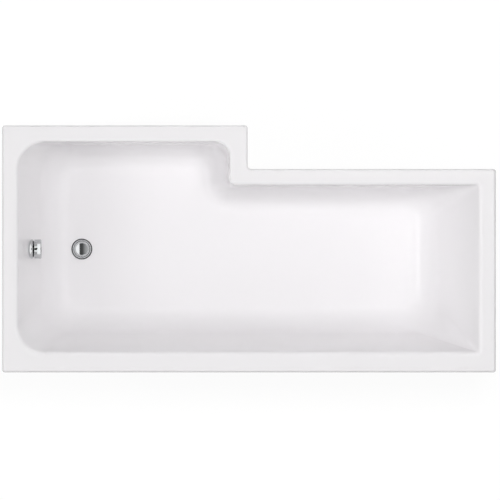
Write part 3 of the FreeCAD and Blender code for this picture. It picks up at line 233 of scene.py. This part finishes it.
def bend(middle, level, radius, start, stop, steps):
    """An arc in section: insets and heights of a circle about a middle, from one angle to another."""
    angle = start + (stop - start) * np.linspace(0, 1, steps)[:, None]
    inset = middle + radius * np.cos(angle)
    return inset, level + radius * np.sin(angle) + 0 * inset


def between(first, last, steps):
    """Rows that run evenly from a first row to a last one, both left out."""
    t = np.linspace(0, 1, steps + 2)[1:-1, None, None]
    return first * (1 - t) + last * t


def to_hole(row, steps):
    """Rows from an outline to the waste hole: each point runs straight to the circle's point that
    lies at the same angle from the waste, closer together near the hole."""
    angle = np.arctan2(row[:, 1] - WASTE[1], row[:, 0] - WASTE[0])
    circle = np.stack([WASTE[0] + WASTE_HOLE * np.cos(angle), WASTE[1] + WASTE_HOLE * np.sin(angle),
                       row[:, 2]], axis=-1)
    t = np.linspace(0, 1, steps + 1)[1:, None, None] ** 0.8
    return row * (1 - t) + circle * t


def well_section(steps):
    """The well in section, from floor to rolled edge: a share h of the depth up, the wall stands in by
    its run times 1 - h to the power BOW. The sweep adds a parabola in the root of the height, which
    leaves the floor where a circle of its radius would and ends at REACH times as far up the wall."""
    h = np.linspace(0, 1, steps)[:, None] ** 2 * (1 - ROLL / DEPTH)
    along_floor = SWEEP * (1 / np.cos(LEAN) - np.tan(LEAN))
    up = np.minimum(h * DEPTH / (REACH * along_floor), 1)
    return RIM + RUN * (1 - h) ** BOW + along_floor * (1 - np.sqrt(up)) ** 2, FLOOR_Z + DEPTH * h


one_row = np.ones((1, 6))
well = well_section(44)
top_lean = np.where(BOW > 1, 0, LEAN)
rim_bend = bend(RIM + ROLL * (np.tan(top_lean) - 1 / np.cos(top_lean)), RIM_Z - ROLL, ROLL, top_lean,
                np.pi / 2, 10)
outer_bend = bend((EDGE_ROLL + LIP_DRAFT) * one_row, RIM_Z - EDGE_ROLL, EDGE_ROLL, np.pi / 2, np.pi, 8)
back_sweep = SWEEP + WALL
back_bend = bend(BACK_RIM + BACK_RUN * (DEPTH - SWEEP) / DEPTH + back_sweep / np.cos(BACK_LEAN),
                 FLOOR_Z + SWEEP, back_sweep, np.pi + BACK_LEAN, np.pi * 1.5, 12)
rim_corner = np.where(TURN > 0, 10.0, 12.0)
lip_corner = np.where(TURN > 0, 4.0, 17.0)
well_wall = well_rows(*well)
rolled = well_rows(*rim_bend)
outer = round_the_l(*outer_bend, rim_corner - TURN * both_sides(outer_bend[0]))
lip_low = round_the_l(0 * one_row, LIP_Z * one_row, rim_corner * one_row)
lip_inside = round_the_l(LIP_WALL * one_row, LIP_Z * one_row, lip_corner * one_row)
lip_top = round_the_l(LIP_WALL * one_row, (RIM_Z - WALL) * one_row, lip_corner * one_row)
back_top_inset = BACK_RIM + BACK_RUN * WALL / DEPTH
back_top = well_rows(back_top_inset * one_row, (RIM_Z - WALL) * one_row)
back = well_rows(*back_bend)
top_rows = [to_hole(well_wall[0], 9)[::-1], well_wall[:-1], rolled, between(rolled[-1], outer[0], 3), outer,
            lip_low]
back_rows = [lip_inside, lip_top, between(lip_top[0], back_top[0], 2), back_top,
             between(back_top[0], back[0], 8), back, to_hole(back[-1], 5)]

acrylic, place = open_finish("white_acrylic_gloss")
cloud = place.node("TexNoise", {"Vector": place, "Scale": 2.5, "Detail": 2.0})
peel = place.node("TexNoise", {"Vector": place, "Scale": 190.0, "Detail": 2.0})
white = cloud.blend((0.908, 0.894, 0.908), (0.923, 0.909, 0.923))
close_finish(place, white, 0.09 + 0.06 * cloud, peel, 0.00001, gleam=0.3)

fibre, place = open_finish("glass_fibre_backing")
strands = []
for tilt, turn in ((0.6, 0.5), (-0.7, -0.6), (1.25, 0.3), (0.2, 1.5)):
    lay = place.node("Mapping", {"Vector": place, "Rotation": (0, tilt, turn), "Scale": (30, 380, 380)})
    strands.append(place.node("TexNoise", {"Vector": lay, "Scale": 1.0, "Detail": 2.0, "Roughness": 0.6}))
mat = strands[0].math("MAXIMUM", strands[0].math("MAXIMUM", strands[0], strands[1]),
                      strands[2].math("MAXIMUM", strands[2], strands[3]))
strand = mat.node("MapRange", {"Value": mat, "From Min": 0.55, "From Max": 0.78})
resin = place.node("TexNoise", {"Vector": place, "Scale": 9.0, "Detail": 4.0})
wet = resin.blend((0.60, 0.595, 0.55), (0.70, 0.69, 0.64))
close_finish(place, strand.blend(wet, (0.80, 0.80, 0.77)), 0.62 - 0.2 * resin, strand + resin, 0.0006)

shell = skin("bath_tub", [np.concatenate(top_rows + back_rows)], [acrylic, fibre],
             split=sum(len(rows) for rows in top_rows))
OVERFLOW = np.array([-752.375, 0.0, 380.0])
LYING = np.array([[0.0, 0.0, -1.0], [0.0, 1.0, 0.0], [1.0, 0.0, 0.0]])
hole = np.array([[0.0, -60.0], [27.0, -60.0], [27.0, 60.0], [0.0, 60.0]])
drill(shell, [skin("overflow_drill", [turned(hole, OVERFLOW, LYING)], [fibre], ring=False)])
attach(shell, "bath")
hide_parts("bath_shell")


# Rim battens and base board: planed softwood strips bonded under the rim, and a sheet of chipboard
# laid in resin under the floor to carry the legs.
def dress(finish, *names):
    """Gives nodes of the frame a finish in place of their plain one."""
    for name in names:
        for slot in nodes[name].material_slots:
            slot.material = finish


for along, lengthways, names in (("x", (1.0, 60.0, 60.0), ("wall", "narrow", "wide")),
                                 ("y", (60.0, 1.0, 60.0), ("tap", "slope", "step"))):
    softwood, place = open_finish(f"planed_softwood_{along}")
    board = place.node("Mapping", {"Vector": place, "Scale": lengthways})
    year = place.node("TexNoise", {"Vector": board, "Scale": 1.6, "Detail": 4.0, "Distortion": 0.8})
    pore = place.node("TexNoise", {"Vector": board, "Scale": 11.0, "Detail": 3.0})
    band = place.node("ValToRGB", {0: year}, stops=[(0.34, (0.78, 0.60, 0.38)), (0.52, (0.70, 0.49, 0.27)),
                                                    (0.58, (0.52, 0.32, 0.15)), (0.64, (0.74, 0.55, 0.33))])
    close_finish(place, (0.35 * pore).blend(band, (0.45, 0.28, 0.14)), 0.55 + 0.2 * pore, pore + year, 0.0004)
    dress(softwood, *(f"rim_batten_{name}" for name in names))

chipboard, place = open_finish("chipboard_flakes")
chips = place.node("Mapping", {"Vector": place, "Rotation": (0.3, 0.2, 0.7), "Scale": (210, 330, 330)})
chip = place.node("TexVoronoi", {"Vector": chips, "Scale": 1.0}, out="Color")
dust = place.node("TexNoise", {"Vector": place, "Scale": 420.0, "Detail": 3.0})
flake = place.node("ValToRGB", {0: chip}, stops=[(0.1, (0.42, 0.28, 0.15)), (0.45, (0.63, 0.46, 0.27)),
                                                 (0.8, (0.76, 0.61, 0.40))])
close_finish(place, (0.4 * dust).blend(flake, (0.40, 0.27, 0.15)), 0.75 + 0.15 * dust, dust, 0.0004)
dress(chipboard, "base_board")

# Leg rails, centre bracket and wall brackets: folded from galvanised steel strip, and held to the board
# and the battens by pan-head screws that are driven upwards.
zinc, place = open_finish("galvanised_steel")
spangle = place.node("TexVoronoi", {"Vector": place, "Scale": 95.0}, out="Color")
shade = place.node("RGBToBW", {0: spangle})
frost = place.node("TexNoise", {"Vector": place, "Scale": 650.0, "Detail": 3.0})
plating = shade.blend((0.50, 0.52, 0.54), (0.68, 0.70, 0.72))
close_finish(place, plating, 0.26 + 0.22 * shade + 0.1 * frost, frost, 0.00003, metal=1.0)
dress(zinc, "leg_rail_tap", "leg_rail_slope", "centre_bracket", "wall_bracket_tap", "wall_bracket_left",
      "wall_bracket_right")

screw_steel, place = open_finish("bright_screw_steel")
stroke = place.node("TexNoise", {"Vector": place, "Scale": 900.0, "Detail": 2.0})
bright = stroke.blend((0.62, 0.60, 0.52), (0.76, 0.74, 0.66))
close_finish(place, bright, 0.22 + 0.2 * stroke, stroke, 0.00003, metal=1.0)
dress(screw_steel, "rail_screws", "centre_bracket_screws", "wall_bracket_screws")

# Levelling feet: lengths of M10 zinc-plated studding, screwed into ribbed pads of moulded black nylon
# and locked to the steel by a nut above and a nut below it.
STUD, PITCH, THREAD = 5.0, 1.5, 0.8
TIP, TAPER = 1.3, 1.5
FLATS, NUT = 8.5, 8.0

nylon, place = open_finish("black_moulded_nylon")
spark = place.node("TexNoise", {"Vector": place, "Scale": 1500.0, "Detail": 2.0})
scuff = place.node("TexNoise", {"Vector": place, "Scale": 60.0, "Detail": 5.0, "Roughness": 0.7})
black = scuff.blend((0.018, 0.018, 0.019), (0.045, 0.045, 0.047))
close_finish(place, black, 0.38 + 0.25 * scuff, spark, 0.00012)


def studding(x, y, low, high):
    """A threaded bar: the radius is the stud's less a thread depth times a triangle wave of height over
    pitch less turns. Both ends taper by a tip's depth and close on the axis."""
    turns = np.linspace(0, 1, 24, endpoint=False)
    height = np.linspace(low, high, int((high - low) / 0.3))[:, None]
    wave = np.abs(2 * ((height / PITCH - turns) % 1) - 1)
    end = np.clip(np.minimum(height - low, high - height) / TAPER, 0, 1)
    radius = np.minimum(STUD - THREAD * wave, STUD - TIP + TIP * end)
    radius[[0, -1]] = 0
    return np.stack([x + radius * np.cos(2 * np.pi * turns), y + radius * np.sin(2 * np.pi * turns),
                     height + 0 * turns], axis=-1)


def lock_nut(x, y, low):
    """A hexagon nut: outside, the lesser of the hexagon's radius at each angle and a cone that takes its
    corners off top and bottom; inside, the bore with a countersink."""
    angle = np.linspace(0, 2 * np.pi, 72, endpoint=False)
    hexagon = FLATS / np.cos(angle % (np.pi / 3) - np.pi / 6)
    height = np.array([0.7, 0, 0, 0.2, 0.4, 0.7, 1.1, 6.9, 7.3, 7.6, 7.8, 8, 8, 7.3])[:, None]
    limit = np.array([5.05, 5.8, 8.2, 8.5, 8.85, 9.35, 9.9, 9.9, 9.35, 8.85, 8.5, 8.2, 5.8, 5.05])[:, None]
    radius = np.minimum(hexagon, limit)
    return np.stack([x + radius * np.cos(angle), y + radius * np.sin(angle),
                     low + height + 0 * angle], axis=-1)


for foot in ("tap_wall", "tap_front", "slope_wall", "slope_front", "centre"):
    low, high = (np.array(corner) * 1000 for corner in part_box(f"foot_stem_{foot}"))
    x, y = (low + high)[:2] / 2
    stem = skin(f"studding_{foot}", [studding(x, y, low[2], high[2])], [zinc], ring=False, crease=50)
    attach(stem, f"foot_{foot}")
    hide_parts(f"foot_stem_{foot}")
    nut_low, nut_high = (corner[2] * 1000 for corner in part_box(f"lock_nuts_{foot}"))
    pair = skin(f"locking_pair_{foot}", [lock_nut(x, y, nut_low), lock_nut(x, y, nut_high - NUT)], [zinc])
    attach(pair, "bath")
    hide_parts(f"lock_nuts_{foot}")
    dress(nylon, f"foot_pad_{foot}")

# Waste: a chromed brass ring bedded on a black rubber seal and screwed to a moulded white body under
# the floor. A guide pushed into its neck carries the stem of the plug.
chrome, place = open_finish("bright_chrome_plate")
wipe = place.node("TexNoise", {"Vector": place, "Scale": 55.0, "Detail": 4.0, "Roughness": 0.6})
silver = wipe.blend((0.60, 0.61, 0.62), (0.65, 0.66, 0.67))
close_finish(place, silver, 0.03 + 0.06 * wipe, wipe, 0.000002, metal=1.0)

rubber, place = open_finish("black_rubber")
bloom = place.node("TexNoise", {"Vector": place, "Scale": 120.0, "Detail": 5.0, "Roughness": 0.7})
soot = bloom.blend((0.012, 0.012, 0.012), (0.032, 0.032, 0.033))
close_finish(place, soot, 0.5 + 0.3 * bloom, bloom, 0.00004)

moulded, place = open_finish("moulded_white_plastic")
grain = place.node("TexNoise", {"Vector": place, "Scale": 1200.0, "Detail": 2.0})
tone = place.node("TexNoise", {"Vector": place, "Scale": 14.0, "Detail": 3.0})
close_finish(place, tone.blend((0.74, 0.74, 0.72), (0.80, 0.80, 0.785)), 0.36 + 0.14 * tone, grain, 0.00006)

brass, place = open_finish("turned_brass")
lathe = place.node("Mapping", {"Vector": place, "Scale": (30, 30, 2600)})
score = place.node("TexNoise", {"Vector": lathe, "Scale": 1.0, "Detail": 2.0})
gold = score.blend((0.66, 0.45, 0.17), (0.80, 0.58, 0.26))
close_finish(place, gold, 0.2 + 0.2 * score, score, 0.00002, metal=1.0)


def eased(profile, radius, steps=5):
    """Rounds the corners of a closed profile: at each corner a parabola from radius before it to radius
    after it, or 0.45 of the shorter side. Corners on the axis stay sharp."""
    before = np.roll(profile, 1, axis=0) - profile
    after = np.roll(profile, -1, axis=0) - profile
    reach = np.stack([np.linalg.norm(before, axis=1), np.linalg.norm(after, axis=1)])
    cut = np.minimum(radius, 0.45 * reach.min(axis=0)) * (profile[:, 0] > 0)
    enter = profile + before * (cut / np.maximum(reach[0], 1e-9))[:, None]
    leave = profile + after * (cut / np.maximum(reach[1], 1e-9))[:, None]
    t = np.linspace(0, 1, steps)[None, :, None]
    curve = (1 - t) ** 2 * enter[:, None] + 2 * t * (1 - t) * profile[:, None] + t**2 * leave[:, None]
    return curve.reshape(-1, 2)


waste_at = (*WASTE, FLOOR_Z)
ring_profile = np.array([[24.0, -30], [24, 1.5], [32.6, 1.5], [32.6, 3.2], [32.3, 4.6], [31.4, 5.8],
                         [30.2, 6.4], [29, 6.2], [28.2, 5.4], [28, 4.4], [28, 3], [20, 3], [20, -30]])
ring = skin("waste_ring", [turned(eased(ring_profile, 0.7), waste_at, columns=128)], [chrome])
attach(ring, "bath")
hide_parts("waste_flange")
dress(rubber, "waste_flange_seal", "waste_body_seal")
dress(moulded, "waste_body", "stem_guide")

# Plug: a chromed domed cap over a rubber seal, on a brass stem that stands on a rocker. The rocker turns
# on a brass pin in the waste body, and the cable's rod pushes it.
DOME_EDGE, DOME_TOP, DOME_RADIUS = 21.4, 7.6, 187.0
dome = np.linspace(DOME_EDGE, 0, 14)
plug_profile = np.concatenate([
    [[0.0, -8], [6.5, -8], [6.5, -2.5], [18.5, -2.5], [18.5, 4.6], [27.2, 4.6], [27.2, 5.7], [26.6, 6.3],
     [25.8, 6.5], [24.8, 6.1], [23.6, 5.3], [22.6, 5.3]],
    np.column_stack([dome, DOME_TOP - dome**2 / (2 * DOME_RADIUS)])])
plug = skin("plug_dome", [turned(eased(plug_profile, 0.6), waste_at, columns=128)], [chrome], ring=False)
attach(plug, "plug")
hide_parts("plug_cap")
dress(rubber, "plug_seal")
dress(brass, "plug_stem", "rocker_pin", "push_rod")
dress(moulded, "rocker")

# Overflow: a chromed plate with a ring of water holes, wedge-shaped so that its face stands upright on
# the leaning wall. A rubber seal and a moulded white body clamp it from behind.
TILT, WEDGE, WATER_RING = 0.2625, 3.8, 16.5
plate_profile = np.array([[25.0, -28.7125], [25, 0], [32, 0], [33.2, 1.2], [33.8, 2.4], [34, 3.6], [33.6, 5],
                          [32.6, 6.6], [28, 10.2], [15, 11.925], [12, 11.925], [12, 13.525], [4.05, 13.525],
                          [4.05, -2.075], [8, -2.075], [8, 8.925], [21, 8.925], [21, -28.7125]])
plate_grid = turned(eased(plate_profile, 0.5), OVERFLOW, LYING, columns=128)
forward = plate_grid[..., 0] - OVERFLOW[0]
wedge = np.where(forward > -1e-6, np.clip(1 - forward / WEDGE, 0, 1), 0)
plate_grid[..., 0] += wedge * TILT * (OVERFLOW[2] - plate_grid[..., 2])
plate = skin("overflow_plate", [plate_grid], [chrome])
water_profile = np.array([[0.0, 4.0], [3.5, 4], [3.5, 20], [0, 20]])
water_drills = []
for number, turn in enumerate(np.linspace(0, 2 * np.pi, 6, endpoint=False)):
    water_at = OVERFLOW + WATER_RING * np.array([0, np.sin(turn), -np.cos(turn)])
    water_hole = turned(water_profile, water_at, LYING, columns=32)
    water_drills.append(skin(f"water_drill_{number}", [water_hole], [chrome], ring=False))
drill(plate, water_drills)
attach(plate, "bath")
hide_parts("overflow_flange")
dress(rubber, "overflow_seal")
dress(moulded, "overflow_body")

# Knob: a hollow chromed cap on a chromed brass spindle, turned by hand to lift the plug. Water runs in
# behind its skirt to the holes of the plate, and a hole in the skirt lets a key through to its hub.
knob_profile = np.array([[4.05, 15.525], [9.5, 15.525], [9.5, 32.925], [30.5, 32.925], [30.5, 12.2],
                         [33.3, 12.2], [33.3, 13.4], [33.3, 16], [33.4, 22], [34.03, 32.8], [34.1, 34.2],
                         [31.8, 37.2], [0, 37.925], [0, 30.925], [4.05, 30.925]])
knob_profile = np.roll(knob_profile, -13, axis=0)
knob_grid = turned(eased(knob_profile, 0.6), OVERFLOW, LYING, columns=128)
knob = skin("overflow_cap", [knob_grid], [chrome], ring=False)
screw_profile = np.array([[0.0, 26.0], [3, 26], [3, 40], [0, 40]])
screw_hole = turned(screw_profile, OVERFLOW + np.array([20.5, 2.0, 0.0]), columns=32)
drill(knob, [skin("screw_drill", [screw_hole], [chrome], ring=False)])
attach(knob, "knob")
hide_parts("overflow_knob")
dress(chrome, "knob_spindle")

# Overflow hose: ribbed grey plastic tube with plain cuffs, set against the ends of the spigots of the
# overflow and the waste, inside moulded nuts.
CREST, VALLEY, BORE, RIB, CUFF = 16.5, 14.8, 13.0, 6.5, 13.0
SPIGOT_X = -792.0875


def route(name, points):
    """A NURBS spline with these points, in mm, as its control points."""
    curve = bpy.data.curves.new(name, "CURVE")
    curve.dimensions = "3D"
    spline = curve.splines.new("NURBS")
    spline.points.add(len(points) - 1)
    metres = np.column_stack([np.array(points) / 1000, np.ones(len(points))])
    spline.points.foreach_set("co", metres.ravel())
    spline.order_u = 3
    spline.use_endpoint_u = True
    curve.resolution_u = 64
    piece = bpy.data.objects.new(name, curve)
    bpy.context.scene.collection.objects.link(piece)
    return piece


hose_route = route("hose_line", [(SPIGOT_X, 0, 316), (SPIGOT_X, 0, 145.506), (-640.601, 0, 113.306)])
hose_line = bpy.data.meshes.new_from_object(hose_route.evaluated_get(bpy.context.evaluated_depsgraph_get()))
walk = np.zeros(len(hose_line.vertices) * 3)
hose_line.vertices.foreach_get("co", walk)
walk = walk.reshape(-1, 3) * 1000
bpy.data.objects.remove(hose_route)
gone = np.concatenate([[0], np.cumsum(np.linalg.norm(np.diff(walk, axis=0), axis=1))])
hose_length = gone[-1]


def hose_rows(outside):
    """The hose along its line: at each distance a circle in the plane across the line. Outside, its
    radius swings between valley and crest with the root of a cosine of the distance over the pitch,
    and is the valley's in the cuffs. Inside it is the bore's."""
    distance = np.linspace(0, hose_length, 560)
    middle = np.stack([np.interp(distance, gone, walk[:, axis]) for axis in range(3)], axis=-1)
    ahead = np.gradient(middle, axis=0)
    ahead /= np.linalg.norm(ahead, axis=1)[:, None]
    across = np.array([0.0, 1.0, 0.0])
    third = np.cross(ahead, across)
    ribbed = np.clip((np.minimum(distance, hose_length - distance) - CUFF) / 2, 0, 1)
    wave = np.sqrt(0.5 - 0.5 * np.cos(2 * np.pi * (distance - CUFF) / RIB))
    radius = VALLEY + (CREST - VALLEY) * wave * ribbed if outside else np.full_like(distance, BORE)
    angle = np.linspace(0, 2 * np.pi, 48, endpoint=False)
    circle = np.cos(angle)[:, None] * across + np.sin(angle)[:, None] * third[:, None]
    return middle[:, None] + radius[:, None, None] * circle


hose_plastic, place = open_finish("grey_hose_plastic")
haze = place.node("TexNoise", {"Vector": place, "Scale": 26.0, "Detail": 4.0})
speck = place.node("TexNoise", {"Vector": place, "Scale": 900.0, "Detail": 2.0})
close_finish(place, haze.blend((0.40, 0.41, 0.42), (0.50, 0.51, 0.52)), 0.34 + 0.2 * haze, speck, 0.00005)

hose = skin("ribbed_hose", [np.concatenate([hose_rows(True), hose_rows(False)[::-1]])], [hose_plastic])
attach(hose, "bath")
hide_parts("overflow_hose")
dress(moulded, "hose_nut_upper", "hose_nut_lower")

# Control cable: a steel core in a grey plastic sheath, clamped by a gland nut at the overflow and at
# the waste. It bows out to the wall side between them.
cable = route("sheathed_cable", [(SPIGOT_X, -54, 380), (SPIGOT_X, -129, 380), (SPIGOT_X, -129, 305),
                                 (SPIGOT_X, -129, 130), (-651.96, -129, 106.44), (-578, -129, 94),
                                 (-578, -54, 94)])
cable.data.bevel_depth = 0.0026
cable.data.bevel_resolution = 6
cable.data.use_fill_caps = True
sheath, place = open_finish("grey_cable_sheath")
smear = place.node("TexNoise", {"Vector": place, "Scale": 90.0, "Detail": 4.0})
close_finish(place, smear.blend((0.10, 0.10, 0.105), (0.16, 0.16, 0.165)), 0.38 + 0.2 * smear, smear, 0.00003)
cable.data.materials.append(sheath)
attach(cable, "bath")
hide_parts("control_cable")
dress(brass, "cable_nut_upper", "cable_nut_lower")

# Studio: a pale floor just below the feet at their lowest, a pale world, soft lamps overhead and at the
# showering end, a strip for the rolled edges, and a camera far above the rim with a long lens.
FLOOR_DROP, FLOOR_REACH = -0.0205, 30.0
CAMERA_RISE, CAMERA_SHIFT, FRAME_WIDTH, SENSOR = 80.0, 0.0033, 1.72, 36.0


def light_path(place):
    """Whether a ray comes straight from the camera, off something glossy or through something clear."""
    kinds = ("Camera", "Glossy", "Transmission")
    return [place.node("LightPath", {}, out=f"Is {kind} Ray") for kind in kinds]


floor_finish, place = open_finish("pale_studio_floor")
ray, mirror, through = light_path(place)
seen = ray.math("MAXIMUM", ray, mirror.math("MAXIMUM", mirror, through))
lit = place.node("BsdfDiffuse", {"Color": seen.blend((0.35, 0.35, 0.35), (0.9, 0.9, 0.9))})
paper = place.node("Emission", {"Color": (1, 1, 1, 1), "Strength": 1.05})
place.node("OutputMaterial", {"Surface": place.node("MixShader", {0: 0.88 * seen, 1: lit, 2: paper})})
corner = FLOOR_REACH * np.array([[-1, -1], [1, -1], [1, 1], [-1, 1]])
sheet = bpy.data.meshes.new("studio_floor")
sheet.from_pydata(np.column_stack([corner, np.full(4, FLOOR_DROP)]).tolist(), [], [(0, 1, 2, 3)])
sheet.materials.append(floor_finish)
ground = bpy.data.objects.new("studio_floor", sheet)
bpy.context.scene.collection.objects.link(ground)

# What glossy rays meet is a ceiling of bright cloth with a dark gap straight overhead, and a lit slot
# across it that is shut in the middle and dim at its ends. It all fades towards the floor.
world = bpy.data.worlds.new("pale_studio")
bpy.context.scene.world = world
world.use_nodes = True
world.node_tree.nodes.clear()
sky = Finish(world.node_tree)
ray, mirror, through = light_path(sky)
toward = sky.node("TexCoord", {}, out="Generated")
east, north, high = (sky.node("SeparateXYZ", {0: toward}, out=axis) for axis in "XYZ")
ceiling = sky.node("ValToRGB", {0: 0.5 + 0.5 * east}, stops=[(at, (grey, grey, grey)) for at, grey in (
    (0.33, 0.6), (0.375, 1.4), (0.4475, 1.4), (0.4575, 0.08), (0.51, 0.1), (0.54, 0.28), (0.57, 0.5),
    (0.62, 0.55), (0.68, 1), (0.9, 1), (0.97, 0.35))])
across, along = east * east, north * north
slit = sky.node("MapRange", {"Value": across, "From Min": 0.04, "From Max": 0.08,
                             "To Min": 1.4, "To Max": 0.0})
gap = sky.node("MapRange", {"Value": along, "From Min": 0.055, "From Max": 0.07})
far = sky.node("MapRange", {"Value": along, "From Min": 0.2, "From Max": 0.3, "To Min": 1.0, "To Max": 0.4})
dusk = sky.node("MapRange", {"Value": high, "From Min": 0.1, "From Max": 0.45, "To Min": 0.1})
studio = dusk * ceiling.math("MAXIMUM", ceiling, slit * gap * far)
plain = 0.34 + 0.64 * ray.math("MAXIMUM", ray, through)
glow = sky.node("Background", {"Color": (1, 1, 1, 1), "Strength": plain * (1 - mirror) + studio * mirror})
sky.node("OutputWorld", {"Surface": glow})

for name, width, length, power, at, aim, lighting, mirrored in (
        ("overhead_softbox", 1.6, 1.2, 153.0, (0.9, 0.6, 6.0), (0, 0.13, 0), True, False),
        ("side_softbox", 2.4, 6.0, 130.0, (-5.4, -1.8, 5.6), (0, -np.pi / 4, 0.3), True, True),
        ("rim_strip", 8.0, 1.2, 210.0, (0.5, 7.0, 2.6), (-1.28, 0, 0), False, True)):
    lamp = bpy.data.lights.new(name, "AREA")
    lamp.shape = "RECTANGLE"
    lamp.size, lamp.size_y = width, length
    lamp.energy = power
    softbox = bpy.data.objects.new(name, lamp)
    softbox.location = at
    softbox.rotation_euler = aim
    softbox.visible_diffuse = lighting
    softbox.visible_glossy = mirrored
    bpy.context.scene.collection.objects.link(softbox)

lens = bpy.data.cameras.new("overhead_camera")
lens.sensor_width = SENSOR
lens.lens = SENSOR * CAMERA_RISE / FRAME_WIDTH
camera = bpy.data.objects.new("overhead_camera", lens)
camera.location = (CAMERA_SHIFT, -CAMERA_SHIFT, CAMERA_RISE + RIM_Z / 1000)
bpy.context.scene.collection.objects.link(camera)
bpy.context.scene.camera = camera
bpy.context.scene.view_settings.view_transform = "Standard"
